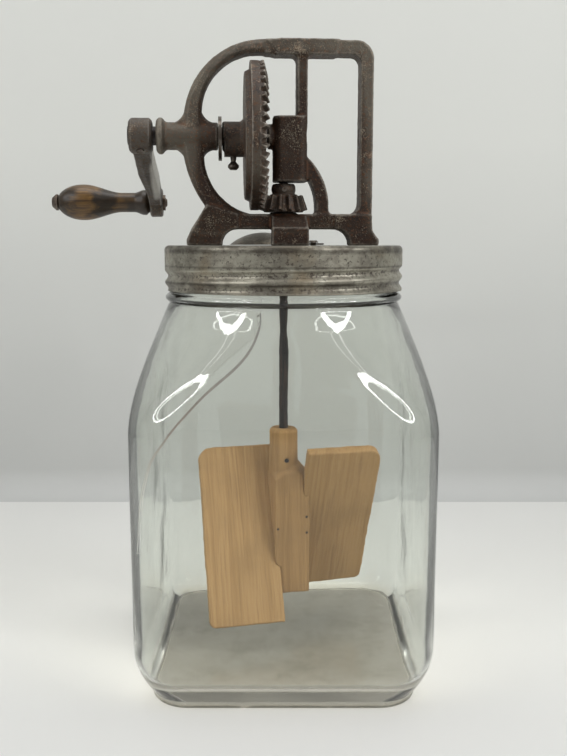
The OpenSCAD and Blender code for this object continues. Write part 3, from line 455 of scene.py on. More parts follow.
def tinplate(name, pale, grey, warm, rust, spots=0.5, dark_bands=None):
    material, tree, at = finish_named(name)
    flat = put(tree, "ShaderNodeMapping", {"Vector": at, "Scale": (1.0, 1.0, 1.7)})
    clouds = mottle(tree, flat, 14, 7.0, 0.68)
    pits = mottle(tree, at, 1.6, 5.0, 0.7)
    stain = mottle(tree, at, 22, 3.0)
    colour = ramp(tree, clouds, (0.26, grey), (0.44, pale), (0.58, grey), (0.76, pale))
    colour = blend(tree, remap(tree, stain, 0.50, 0.72, 0.0, 0.6), colour, warm)
    deep = remap(tree, attribute(tree, "hollow"), 0.05, 0.6, 0.0, 0.16)
    holes = remap(tree, work(tree, "ADD", pits, deep), 0.56, 0.62, 0.0, spots)
    colour = blend(tree, holes, colour, rust)
    # Paler along the ridges: rubbed tin, and painted highlight.
    colour = blend(tree, remap(tree, attribute(tree, "ridge"), 0.1, 0.7, 0.0, 0.45), colour, pale)
    # On the lid, darker bands at set heights: along the top edge, in the grooves and along the lower edge.
    if dark_bands:
        low, high, darkening, lines = dark_bands
        wavy = work(tree, "MULTIPLY_ADD", pits, 2 * WOBBLE * MM, level(tree, at))
        height = remap(tree, wavy, (low + WOBBLE) * MM, (high + WOBBLE) * MM)
        uneven = remap(tree, clouds, 0.3, 0.6, 0.3)
        colour = blend(tree, work(tree, "MULTIPLY", ramp(tree, height, *lines), uneven), colour, darkening)
    coat(tree, {
        "Base Color": colour, "Metallic": remap(tree, holes, 0.0, 1.0, 0.88, 0.2),
        "Roughness": remap(tree, clouds, 0.3, 0.7, 0.30, 0.52), "Normal": bumps(tree, pits, 0.35, 0.2)})
    return material


# How much darker the lid is, from black for none to white, by its height from the lower edge to the top
LID_BANDS = (
    (0.0, "#c8c8c8"), (0.05, "#8c8c8c"), (0.15, "#a8a8a8"), (0.20, "#f4f4f4"), (0.25, "#707070"),
    (0.33, "#101010"), (0.51, "#101010"), (0.55, "#d8d8d8"), (0.58, "#202020"), (0.80, "#101010"),
    (0.86, "#e0e0e0"), (1.0, "#d8d8d8"))
lid_tin = tinplate("worn_lid_tinplate", "#aaa698", "#847f74", "#928064", "#33261d", spots=0.8,
                   dark_bands=(LID_LOW, LID_Z, "#2f2721", LID_BANDS))
cover_tin = tinplate("worn_cover_tinplate", "#6a6357", "#443e36", "#5c4a38", "#2c1f17", spots=0.9)
small_steel = tinplate("dull_small_steel", "#7a736b", "#4f4842", "#5a4636", "#33231a", spots=0.8)
print("tinplate:", lid_tin.name, cover_tin.name, small_steel.name)

# %% [markdown]
# ## The rod
# The rod, the shaft and the nails are drawn steel that has gone nearly black, with brown streaks
# along the rod's length.

# %% Rod finish
rod_steel, tree, at = finish_named("blackened_drawn_rod")
streaks = streaky(tree, at, (1.2, 1.2, 16), 5.0)
blots = mottle(tree, at, 3, 4.0)
coat(tree, {
    "Base Color": ramp(tree, streaks, (0.32, "#1d1a1c"), (0.52, "#35302f"), (0.72, "#4b3a30")),
    "Metallic": 0.6, "Roughness": remap(tree, blots, 0.0, 1.0, 0.30, 0.62),
    "Normal": bumps(tree, blots, 0.4, 0.2)})
print("rod:", rod_steel.name)

# %% [markdown]
# ## Raw wood of the dasher
# The hub and the paddles are sawn softwood that was never varnished. The grain runs along each
# board, so the coordinates are turned into the board's own direction before they are stretched.
# Fine dark lines, paler bands and grey water stains lie over a light tan.

# %% Raw wood finish
def raw_wood(name, turn, lean, light, mid, dark, stain):
    material, tree, at = finish_named(name)
    along = turned(tree, turned(tree, at, (0, 0, -turn)), (-lean, 0, 0))
    bands = streaky(tree, along, (5.5, 5.5, 190), 3.0, warp=0.35)
    lines = streaky(tree, along, (0.9, 0.9, 26), 5.0, 0.65)
    colour = ramp(tree, bands, (0.28, mid), (0.48, light), (0.62, mid), (0.78, light))
    colour = blend(tree, remap(tree, lines, 0.50, 0.74, 0.0, 0.55), colour, dark)
    soaked = remap(tree, mottle(tree, at, 30, 4.0), 0.48, 0.72, 0.0, 0.45)
    darkening = work(tree, "ADD", soaked, attribute(tree, "hollow"), use_clamp=True)
    coat(tree, {
        "Base Color": blend(tree, darkening, colour, stain), "Roughness": remap(tree, lines, 0.0, 1.0, 0.62, 0.85),
        "Normal": bumps(tree, lines, 0.35, 0.25)})
    return material


PADDLE_TURN, PADDLE_LEAN = 14.0, 21.9
tan = ("#ad8a5b", "#9e7b4c", "#72552f", "#84673e")
hub_wood = raw_wood("raw_hub_wood", PADDLE_TURN, 0.0, "#a48153", "#937145", "#684c2a", "#775b37")
left_wood = raw_wood("raw_left_paddle_wood", PADDLE_TURN + 180, PADDLE_LEAN, *tan)
right_wood = raw_wood("raw_right_paddle_wood", PADDLE_TURN, PADDLE_LEAN, *tan)
print("raw wood:", hub_wood.name, left_wood.name, right_wood.name)

# %% [markdown]
# ## Stained wood of the grip
# The grip was turned from hardwood and stained nearly black. Hands have worn the stain through to
# amber on the swell and on the neck. The wear lies in bands along the handle, broken up by grain.

# %% Stained wood finish
GRIP_TIP, GRIP_RING, GRIP_WANDER = -0.129, -0.0755, 0.022
grip_wood, tree, at = finish_named("stained_grip_wood")
along = turned(tree, at, (0, 0, -TURN))
grain = streaky(tree, along, (34, 1.4, 1.4), 5.0, 0.6)
blotch = mottle(tree, along, 8, 4.0)
wander = work(tree, "MULTIPLY_ADD", blotch, GRIP_WANDER, level(tree, along, "X"))
share = remap(tree, wander, GRIP_TIP + GRIP_WANDER / 2, GRIP_RING + GRIP_WANDER / 2)
bands = ramp(tree, share, (0.10, "#181818"), (0.24, "#b0b0b0"), (0.34, "#c4c4c4"), (0.47, "#202020"),
             (0.54, "#202020"), (0.66, "#a0a0a0"), (0.74, "#888888"), (0.86, "#000000"))
worn = remap(tree, work(tree, "MULTIPLY", bands, grain), 0.04, 0.36)
stain = ramp(tree, grain, (0.3, "#221a12"), (0.7, "#3a2c1c"))
amber = ramp(tree, grain, (0.3, "#684926"), (0.7, "#8e6a34"))
coat(tree, {"Base Color": blend(tree, worn, stain, amber), "Roughness": 0.36,
            "Normal": bumps(tree, grain, 0.15, 0.2)})
print("grip:", grip_wood.name)

# %% [markdown]
# ## Pressed glass and rubber
# The jar is soda-lime glass pressed in an iron mould. It is clear, bends light like window glass, and its walls
# ripple slightly over a few centimetres. The base is scuffed and hazed by use, and the foot's edge is painted
# darkest as painted shade. A crack, pale below as a painted highlight and brown above, shows where the attribute
# "from_crack" is small. Rays from the lamps pass straight through the glass, so that the dasher and the base are
# lit as they are inside a real jar. The rubber ring under the lid is dull grey.

# %% Glass and rubber finishes
CRACK_Z = (79, 95, 111, 128, 143.5, 159, 172, 180, 191, 198)
jar_glass, tree, at = finish_named("pressed_soda_glass")
ripple = mottle(tree, at, 14, 2.0)
scuffed_and_shaded = work(tree, "MULTIPLY", attribute(tree, "scuff_and_shade"), mottle(tree, at, 16, 6.0, 0.7))
# The dark end of the tint is reached mostly on the foot's edge, as painted shade.
tint = ramp(tree, scuffed_and_shaded, (0.0, "#f2f4f1"), (0.34, "#f8f6f0"), (0.5, "#ede9df"), (0.66, "#d8d2c5"),
            (1.0, "#6f6e66"))
beside = work(tree, "ABSOLUTE", attribute(tree, "from_crack"))
crack = remap(tree, beside, 0.45, 0.2, 0.0, 0.8)
crack_share = remap(tree, level(tree, at), CRACK_Z[0] * MM, CRACK_Z[-1] * MM)
# The crack's colour by height: pale low down as painted highlight, brown and dark higher up.
crack_tone_and_highlight = ramp(tree, crack_share, (0.1, "#f2f1ec"), (0.36, "#d9d4c8"), (0.52, "#75583a"), (0.74, "#574637"),
                  (0.96, "#4a4038"))
clear_glass = put(tree, "ShaderNodeBsdfPrincipled", {
    "Base Color": blend(tree, crack, tint, crack_tone_and_highlight), "Roughness": remap(tree, scuffed_and_shaded, 0.0, 0.8, 0.012, 0.30),
    "IOR": 1.5, "Transmission Weight": remap(tree, crack, 0.0, 1.0, 1.0, 0.3),
    "Normal": bumps(tree, ripple, 0.12, 0.6)})
lamp_light = put(tree, "ShaderNodeBsdfTransparent", {"Color": paint("#f7f6f3")})
from_lamp = put(tree, "ShaderNodeLightPath").outputs["Is Shadow Ray"]
close(tree, put(tree, "ShaderNodeMixShader", {0: from_lamp, 1: clear_glass, 2: lamp_light}))
gasket_rubber, tree, at = finish_named("aged_gasket_rubber")
bloom = mottle(tree, at, 4, 4.0)
coat(tree, {"Base Color": ramp(tree, bloom, (0.3, "#3a3734"), (0.7, "#57524c")), "Roughness": 0.8})
print("glass:", jar_glass.name, "rubber:", gasket_rubber.name)

# %% [markdown]
# ## The jar
# The body is a square with rounded corners. The shoulder changes that square into the round neck,
# and the thread is one ridge that climbs the neck. Every level of the glass is one ring of points,
# outside going up and inside coming down, so that the glass has its true thickness.

# %% Jar rings
JAR_POINTS, RIPPLE, LIP = 256, 0.3, 1.2
FOOT_W = JAR_W / 2 - HEEL_IN
quarter = (np.arange(JAR_POINTS) % (JAR_POINTS // 4)) / (JAR_POINTS // 4) * 90
spread = 45 + 45 * np.sign(quarter - 45) * (np.abs(quarter - 45) / 45) ** 1.25
jar_angle = np.radians(spread + 90 * (np.arange(JAR_POINTS) // (JAR_POINTS // 4)))


def square_reach(w, c, a):
    q = np.abs(a - np.pi / 2 * np.round(a / (np.pi / 2)))
    k = w - c
    bow = np.sqrt(np.maximum(0, c * c - (k * (np.cos(q) - np.sin(q))) ** 2))
    corner = k * (np.cos(q) + np.sin(q)) + bow
    return np.where(w * np.tan(q) <= k, w / np.cos(q), corner)


def jar_ring(w, c, z):
    return ring_of(square_reach(w, c, jar_angle), jar_angle, z)


def thread_wave(a, z):
    return 0.5 + 0.5 * np.cos(2 * np.pi * (z - THREAD_MID - PITCH * a / (2 * np.pi)) / PITCH)


def neck_ring(z):
    thread_top = THREAD_LOW + THREAD_LEN
    ends = ease(z, THREAD_LOW, THREAD_LOW + 2) * (1 - ease(z, thread_top - 2, thread_top))
    return ring_of(NECK_R + THREAD_H * ends * thread_wave(jar_angle, z), jar_angle, z)


def shoulder_ring(t, inset):
    w = JAR_W / 2 + (NECK_R + 1 - JAR_W / 2) * (0.15 * t + 0.85 * t * t)
    c = JAR_CORNER + (w - JAR_CORNER) * ease(t, 0, 1)
    w -= inset
    return jar_ring(w, min(w, c - inset * (1 - t)), JAR_BODY + t * JAR_SHOULDER)


def heel_ring(t):
    draw = 0.1 * t + 0.9 * t * t
    return jar_ring(JAR_W / 2 - HEEL_IN * draw, JAR_CORNER + (FOOT_CORNER - JAR_CORNER) * draw,
                    FOOT_H + HEEL_H * (1 - t))


def inner_heel_ring(a):
    drop = 1 - math.sin(a)
    return jar_ring(JAR_W / 2 - JAR_WALL - HEEL_IN * drop, JAR_CORNER - 4 - 8 * drop,
                    FLOOR_T - 1.5 + INNER_HEEL_H * (1 - math.cos(a)))


def bead_ring(a):
    r = NECK_R + BEAD_OUT * max(0.25, math.sin(a))
    return jar_ring(r, r, SHOULDER_Z + BEAD_H * a / np.pi)


def rippled(wall, seed):
    """Draw the glass in by a slow noise, as a pressed wall waves, and never out past its own size."""
    wall = np.array(wall)
    depth = RIPPLE * (0.5 + 0.5 * lumps(wall.reshape(-1, 3) * MM, 30, seed)).reshape(wall.shape[:2])
    fade = ease(wall[..., 2], FOOT_H, FOOT_H + 12) * (1 - ease(wall[..., 2], SHOULDER_Z - 14, SHOULDER_Z))
    wall[..., :2] *= (1 - depth * fade / np.hypot(wall[..., 0], wall[..., 1]))[..., None]
    return list(wall)


quarter_turn = np.linspace(0, np.pi / 2, 6)
lip = [(LIP * math.cos(a), LIP * math.sin(a)) for a in quarter_turn]
rings = [jar_ring(r, r * 0.6, 0.0) for r in (20, 40, 56)]
rings += [jar_ring(FOOT_W - FOOT_EDGE * (1 - math.sin(a)), FOOT_CORNER - FOOT_EDGE * (1 - math.sin(a)),
                   FOOT_EDGE * (1 - math.cos(a))) for a in quarter_turn]
wall = [heel_ring(t) for t in np.linspace(1, 0, 20)]
wall += [jar_ring(JAR_W / 2, JAR_CORNER, z) for z in np.linspace(FOOT_H + HEEL_H, JAR_BODY, 34)[1:-1]]
wall += [shoulder_ring(t, 0) for t in np.linspace(0, 1, 40)]
rings += rippled(wall, seed=21)
rings += [bead_ring(a) for a in np.linspace(0.12, np.pi, 18)]
rings += [neck_ring(z) for z in np.linspace(SHOULDER_Z + BEAD_H + 0.25, THREAD_LOW + THREAD_LEN, 44)]
rings += [jar_ring(NECK_R - LIP + dx, NECK_R - LIP + dx, RIM_Z - LIP + dz) for dx, dz in lip]
rings += [jar_ring(MOUTH_R + LIP - dx, MOUTH_R + LIP - dx, RIM_Z - LIP + dz) for dx, dz in reversed(lip)]
rings += [jar_ring(MOUTH_R, MOUTH_R, z) for z in np.linspace(RIM_Z - 4, SHOULDER_Z, 6)]
wall = [shoulder_ring(t, JAR_WALL) for t in np.linspace(6 / 7, 0, 34)]
wall += [jar_ring(JAR_W / 2 - JAR_WALL, JAR_CORNER - JAR_WALL, z)
         for z in np.linspace(JAR_BODY, FLOOR_T - 1.5 + INNER_HEEL_H, 34)[1:-1]]
rings += rippled(wall, seed=22)
inner_heel = [inner_heel_ring(a) for a in np.linspace(np.pi / 2, 0, 14)]
floor_in = [jar_ring(54, 14, FLOOR_T - 1.0), jar_ring(42, 18, FLOOR_T - 0.4), jar_ring(24, 24, FLOOR_T)]
rings += inner_heel + floor_in
jar = make("jar", skin("jar", rings))
print("jar:", len(rings), "rings")

# %% [markdown]
# The inside of the base and the underside are scuffed, the foot's edge is darkest as painted shade, and the rest
# is clear. A crack runs down the front from the neck to the left corner. It is drawn as a smoothed line on the
# front, and each vertex keeps its distance from that line, in millimetres.

# %% Scuffs and the crack
# The foot's edge rings get more than full scuff, which paints them dark as painted shade.
UNDER_RINGS, UNDER_SCUFF, FOOT_RINGS, FOOT_SCUFF_AND_SHADE = 5, 0.8, 9, 2.2
scuff_and_shade = np.zeros(len(rings))
scuff_and_shade[:UNDER_RINGS] = UNDER_SCUFF
scuff_and_shade[UNDER_RINGS:FOOT_RINGS] = FOOT_SCUFF_AND_SHADE
scuff_and_shade[-len(floor_in) - len(inner_heel):-len(floor_in)] = ease(np.linspace(0, 1, len(inner_heel)), 0.35, 0.95)
scuff_and_shade[-len(floor_in):] = 1
keep(jar.data, "scuff_and_shade", np.repeat(scuff_and_shade, JAR_POINTS))
CRACK_X = (-69.2, -68.2, -66.6, -62.1, -51.3, -36.8, -21.0, -14.6, -10.3, -11.1)
CRACK_SMOOTH, CRACK_FRONT, CRACK_FAR = 9, -40, 9
half = CRACK_SMOOTH // 2
crack_z = np.arange(CRACK_Z[0], CRACK_Z[-1], 1.0)
crack_x = np.interp(np.arange(-half, len(crack_z) + half) + CRACK_Z[0], CRACK_Z, CRACK_X)
crack_x = np.convolve(crack_x, np.full(CRACK_SMOOTH, 1 / CRACK_SMOOTH), "valid")
co = coords(jar.data) / MM
lean = np.interp(co[:, 2], crack_z, np.gradient(crack_x))
from_crack = (co[:, 0] - np.interp(co[:, 2], crack_z, crack_x)) / np.hypot(1, lean)
off = (co[:, 1] > CRACK_FRONT) | (co[:, 2] < crack_z[0]) | (co[:, 2] > crack_z[-1])
from_crack = np.where(off, np.copysign(CRACK_FAR, from_crack), np.clip(from_crack, -CRACK_FAR, CRACK_FAR))
keep(jar.data, "from_crack", from_crack)
dress(jar, "glass_jar", "jar", jar_glass)

# %% [markdown]
# ## The lid
# The lid is one pressed sheet: a flat top, a rounded edge and a skirt with the thread rolled into
# it, so the inside repeats the outside. It is skinned the same way as the jar, and its holes for
# the rod, the vent, the rivet and the screws are cut afterwards.

# %% Lid rings and holes
LID_POINTS = 240
lid_angle = (np.arange(LID_POINTS) + 0.5) / LID_POINTS * 2 * np.pi - np.pi


def lid_ring(r, z):
    return ring_of(r, lid_angle, z)


def skirt_ring(z, inset):
    rise = PITCH * lid_angle / (4 * np.pi)
    plain = ease(z, LID_Z - 12.5 + rise, LID_Z - 9.5 + rise)
    return lid_ring(LID_R - ROLL * (1 - plain) * (1 - thread_wave(lid_angle, z)) - inset, z)


skirt_z = np.linspace(LID_LOW, LID_Z - LID_EDGE - 1, 46)
corner = np.linspace(0, np.pi / 2, 8)
rings = [skirt_ring(z, 0) for z in skirt_z]
rings += [lid_ring(LID_R - LID_EDGE * (1 - np.cos(a)), LID_Z - LID_EDGE * (1 - np.sin(a))) for a in corner]
rings += [lid_ring(r, LID_Z) for r in (54, 40, 22, 3)]
rings += [lid_ring(r, LID_Z - TIN) for r in (3, 22, 40, 54)]
inner_edge = LID_EDGE - TIN
rings += [lid_ring(LID_R - LID_EDGE + inner_edge * np.cos(a), LID_Z - LID_EDGE + inner_edge * np.sin(a))
          for a in corner[::-1]]
rings += [skirt_ring(z, TIN) for z in skirt_z[::-1]]
lid = make("lid", skin("lid", rings, closed_loop=True))
turn = Matrix.Rotation(math.radians(TURN), 4, "Z")
VENT = (-9.0, 34.0)
PIVOT = (VENT[0] + 28.3, VENT[1] - 2.0)
# Place and radius of the rod's hole, the vent, its rivet's hole and the three screws' holes
LID_HOLES = ((0, 0, 4.22), (*VENT, 13.0), (*PIVOT, 1.62), (-42, 0, 1.92), (42, 0, 1.92), (2.4, -13, 1.92))
holes = bmesh.new()
for x, y, r in LID_HOLES:
    bmesh.ops.create_cone(holes, cap_ends=True, segments=48, radius1=r * MM, radius2=r * MM, depth=6 * MM,
                          matrix=turn @ Matrix.Translation((x * MM, y * MM, LID_Z * MM)))
punch_mesh = bpy.data.meshes.new("punch")
holes.to_mesh(punch_mesh)
holes.free()
punch = make("punch", punch_mesh)
cut = lid.modifiers.new("holes", "BOOLEAN")
cut.operation = "DIFFERENCE"
cut.solver = "EXACT"
cut.object = punch
settle(lid)
bpy.data.objects.remove(punch)
shade(lid.data)
mark_wear(lid.data, 0.35, rounds=4)
dress(lid, "lid_cap", "top", lid_tin)

# %% [markdown]
# ## The castings
# The frame and the crank come from sand moulds, so no edge on them is sharp and no corner is square inside. A
# voxel skin over the solid, softened without shrinking it, rounds the ridges and fills the corners in one step,
# and a slight noise leaves the sand's grain. The bearing holes are then set back to their true radius, so that
# the shafts still run free. On the frame, the outer rim is wiped grey by hands and painted lighter as painted
# light, and towards the openings and on the feet it is darker with rust and painted shade. The rim is found from
# the convex outline of the frame's face, without the bearing boss.

# %% Frame casting
def clear_hole(mesh, point, axis, radius, lo, hi):
    """Push the skin out to the hole's radius, along a stretch of the axis in millimetres."""
    co = coords(mesh) / MM
    rel = co - np.array(point)
    along = rel @ axis
    out = rel - along[:, None] * axis
    r = np.linalg.norm(out, axis=1)
    inside = (r < radius) & (along > lo) & (along < hi) & (r > 1e-6)
    co[inside] += out[inside] * (radius / r[inside] - 1)[:, None]
    move(mesh, co * MM)


crank_dir = np.array([math.cos(math.radians(TURN)), math.sin(math.radians(TURN)), 0.0])
up = np.array([0.0, 0.0, 1.0])
casting = cast_skin(merged_copy("gear_frame", "frame_casting"), "gear_frame", 0.62, 24, 0.14, seed=2)
SHAFT_HOLE, ROD_HOLE, BOSS_HALF = 4.84, 2.48, 16
RIM_DEEP, FOOT_DARK = (3, 9), (231, 239)
# Where pale flecks gather on the frame's face: the middle, then the width and the height. The second patch, on
# the plaque, is painted highlight where its raised lettering catches light.
SALT = ((-35, 240, 14, 8), (10, 327, 22, 5), (25, 238, 12, 5), (40, 289, 3, 36), (5, 284, 7, 10),
        (-44, 308, 5, 18))
co = coords(casting.data) / MM
salt = np.max([np.exp(-((co[:, 0] - x) / w) ** 2 - ((co[:, 2] - z) / h) ** 2) for x, z, w, h in SALT], axis=0)
flat = np.stack([co @ crank_dir, co[:, 2]], -1)
arch = flat[(np.abs(flat[:, 1] - AXIS_Z) > BOSS_HALF) | (flat[:, 0] > 0)]
aims = np.linspace(0, 2 * np.pi, 181)[:-1]
ways = np.stack([np.cos(aims), np.sin(aims)], -1)
depth_in = np.min(np.max(arch @ ways.T, axis=0) - flat @ ways.T, axis=1)
# Darker towards the openings and on the feet, with rust and painted shade; the rim is the rest, painted lighter.
inward = np.maximum(ease(depth_in, *RIM_DEEP), 1 - ease(co[:, 2], *FOOT_DARK))
for name, values in (("salt", salt), ("inside", inward), ("rim", 1 - inward)):
    keep(casting.data, name, values)
clear_hole(casting.data, (0, 0, AXIS_Z), crank_dir, SHAFT_HOLE, -90, 40)
clear_hole(casting.data, (0, 0, 0), up, ROD_HOLE, 220, AXIS_Z - 9)
dress(casting, "gear_frame", "top", frame_iron)

# %% [markdown]
# The crank's arm is softer than the frame, with a low keel along its broad side. "share" runs from
# 0 at the shaft to 1 at the grip, and "shank" is 1 on the arm and 0 at its two ends.

# %% Crank casting
ARM_AT, ARM_SHIFT, KEEL, CRANK_BORE = (0.06, 0.4, 0.7, 1.0), 2.7, 1.3, 4.79
arm = cast_skin(merged_copy("crank_arm", "crank_casting"), "crank_arm", 0.45, 16, 0.10, seed=6)
clear_hole(arm.data, (0, 0, AXIS_Z), crank_dir, CRANK_BORE, -90, -60)
rivet_co = coords(nodes["handle_rivet"].data) / MM
rivet_mid = (rivet_co.min(0) + rivet_co.max(0)) / 2
across = np.cross(crank_dir, up)
grip_axis = up * rivet_mid[2] + across * (rivet_mid @ across)
reach = grip_axis - up * AXIS_Z
share = (coords(arm.data) / MM - up * AXIS_Z) @ reach / (reach @ reach)
axial = coords(arm.data) @ crank_dir / MM
hub = axial[share < 0.08]
middle = (hub.min() + hub.max()) / 2 + ARM_SHIFT * np.interp(share, ARM_AT, (0, 0.12, 0.88, 1))
sideways = (axial - middle) / np.interp(share, ARM_AT, (4.5, 4.3, 3.5, 3.3))
shank = ease(share, 0.12, 0.28) * (1 - ease(share, 0.74, 0.92))
soften(arm.data, 40, shank[:, None])
broad_way = np.cross(reach / np.linalg.norm(reach), crank_dir)
co = coords(arm.data) / MM
crest = (co - up * AXIS_Z) @ broad_way / np.interp(share, ARM_AT, (6.6, 6.0, 5.4, 5.4))
keel = KEEL * crest * np.maximum(0, 1 - np.abs(sideways + 0.1)) * shank
move(arm.data, (co + keel[:, None] * broad_way) * MM)
keep(arm.data, "bare", shank * ease(sideways + 1.6 * (share - 0.45), -0.2, 0.9))
dress(arm, "crank_arm", "crank", crank_iron)

# %% [markdown]
# ## The bevel gears
# A bevel gear is a turned blank with one tooth repeated round it, which is work for Geometry
# Nodes: points are numbered, each number becomes a turn about the axis, and a copy of the tooth is
# set at each turn. Both gears use the same tree, with the tooth and the blank as inputs. All lines
# of a tooth run to the apex, the point where the two axes meet, so the apex is the tree's origin.

# %% A tree that sets teeth round a blank
def toothed_wheel():
    tree = bpy.data.node_groups.new("toothed_wheel", "GeometryNodeTree")
    face = tree.interface
    for name, kind in (("Blank", "NodeSocketObject"), ("Tooth", "NodeSocketObject"), ("Teeth", "NodeSocketInt"),
                       ("First Turn", "NodeSocketFloat"), ("Finish", "NodeSocketMaterial")):
        face.new_socket(name, in_out="INPUT", socket_type=kind)
    face.new_socket("Wheel", in_out="OUTPUT", socket_type="NodeSocketGeometry")
    given = tree.nodes.new("NodeGroupInput").outputs
    step = work(tree, "DIVIDE", 2 * math.pi, given["Teeth"])
    turn_of = work(tree, "MULTIPLY_ADD", put(tree, "GeometryNodeInputIndex"), step, given["First Turn"])
    turns = put(tree, "ShaderNodeCombineXYZ", {"Z": turn_of})
    tooth = put(tree, "GeometryNodeObjectInfo", {"Object": given["Tooth"]})
    blank = put(tree, "GeometryNodeObjectInfo", {"Object": given["Blank"]})
    places = put(tree, "GeometryNodePoints", {"Count": given["Teeth"]})
    ring = put(tree, "GeometryNodeInstanceOnPoints", {"Points": places, "Instance": tooth.outputs["Geometry"],
                                                      "Rotation": turns})
    both = put(tree, "GeometryNodeJoinGeometry", {"Geometry": ring})
    tree.links.new(blank.outputs["Geometry"], both.inputs[0])
    solid = put(tree, "GeometryNodeRealizeInstances", {"Geometry": both})
    done = put(tree, "GeometryNodeSetMaterial", {"Geometry": solid, "Material": given["Finish"]})
    put(tree, "NodeGroupOutput", {"Wheel": done})
    return tree


wheel_tree = toothed_wheel()
print("wheel inputs:", [item.name for item in wheel_tree.interface.items_tree if item.in_out == "INPUT"])

# %% Tooth and blank of each gear
MODULE, GEAR_TEETH, PINION_TEETH, TOOTH_FACE = 1.68, 45, 14, 8.0
GEAR_R, PINION_R = MODULE * GEAR_TEETH / 2, MODULE * PINION_TEETH / 2
CONE_LEN = math.hypot(GEAR_R, PINION_R)
GEAR_CONE, PINION_CONE = math.atan2(GEAR_TEETH, PINION_TEETH), math.atan2(PINION_TEETH, GEAR_TEETH)
TOOTH_TOP, TOOTH_ROOT = 0.65 * MODULE, 0.9 * MODULE


def one_tooth(name, cone, teeth):
    """A tapered tooth whose lines run to the apex at the origin, with the axis down -Z."""
    rings = []
    for length in (CONE_LEN, CONE_LEN - TOOTH_FACE):
        share = length / CONE_LEN
        ring = []
        for turn_share, h in ((-0.29, -TOOTH_ROOT - 0.8), (-0.29, -TOOTH_ROOT), (-0.11, TOOTH_TOP),
                              (0.11, TOOTH_TOP), (0.29, -TOOTH_ROOT), (0.29, -TOOTH_ROOT - 0.8)):
            h *= share
            a = turn_share * 2 * math.pi / teeth
            r = length * math.sin(cone) + h * math.cos(cone)
            ring.append((r * math.cos(a), r * math.sin(a), h * math.sin(cone) - length * math.cos(cone)))
        rings.append(ring)
    return make(name, skin(name, rings, smooth=False))


wheel_angle = np.linspace(0, 2 * np.pi, 145)[:-1]


def turned_blank(name, outline):
    """A turned solid about Z from radius, which may change with the angle, and distance below the apex."""
    rings = [ring_of(r, wheel_angle, -d) for r, d in outline]
    return make(name, skin(name, rings, closed_loop=True, smooth=False))


def root_cone(cone, length, h):
    return length * math.sin(cone) - h * math.cos(cone), length * math.cos(cone) + h * math.sin(cone)


WEB_T, HUB_LEN, RIM_T = 6.4, 11.5, 2.9
web_front = PINION_R + TOOTH_ROOT * math.sin(GEAR_CONE) + 1
web_back, hub_back = web_front + WEB_T, web_front + WEB_T + HUB_LEN
hub_front = PINION_R - 2.6
HUB_R, GEAR_BORE, ROD_BORE = 7.6, 4.79, 2.43
# The hub swells on the side of the set screw: a second cylinder, set off towards the screw
LOBE, LOBE_R, LOBE_IN = 3.0, HUB_R - 0.2, GEAR_BORE + 0.4
lobe_reach = LOBE * np.cos(wheel_angle) + np.sqrt(LOBE_R ** 2 - (LOBE * np.sin(wheel_angle)) ** 2)
lobe_reach = np.maximum(lobe_reach, LOBE_IN + 0.5)
lobe_outline = [(LOBE_IN, web_back - 1), (lobe_reach, web_back - 1), (lobe_reach, hub_back - 1),
                (LOBE_IN, hub_back - 1)]
heel_point = root_cone(GEAR_CONE, CONE_LEN + 0.4, TOOTH_ROOT)
toe_point = root_cone(GEAR_CONE, CONE_LEN - TOOTH_FACE - 0.4, TOOTH_ROOT)
gear_outline = [
    (GEAR_BORE, hub_front), (HUB_R, hub_front), (HUB_R + 1, web_front), (toe_point[0] - 3, web_front), toe_point,
    heel_point, (heel_point[0], web_back - RIM_T), (GEAR_R - 4.2, web_back - RIM_T), (GEAR_R - 5.7, web_back),
    (HUB_R + 2, web_back), (HUB_R, web_back + 2), (HUB_R, hub_back - 0.8), (HUB_R - 0.8, hub_back),
    (GEAR_BORE, hub_back)]
pinion_low, pinion_high = (v.z / MM - AXIS_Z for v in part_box("bevel_pinion"))
low_len = (-pinion_low - TOOTH_ROOT * math.sin(PINION_CONE)) / math.cos(PINION_CONE)
low_point = root_cone(PINION_CONE, low_len, TOOTH_ROOT)
top_point = root_cone(PINION_CONE, CONE_LEN - TOOTH_FACE - 0.4, TOOTH_ROOT)
barrel = [(6.4 - 0.9 * abs(2 * t - 1) ** 2.4, top_point[1] - 0.6 + (-pinion_high - top_point[1] + 0.6) * t)
          for t in np.linspace(0.1, 1, 9)]
pinion_outline = [(ROD_BORE, -pinion_low), low_point, top_point, *barrel, (ROD_BORE, -pinion_high)]
print("cone length", round(CONE_LEN, 2), "gear web", round(web_front, 2), "to", round(web_back, 2))

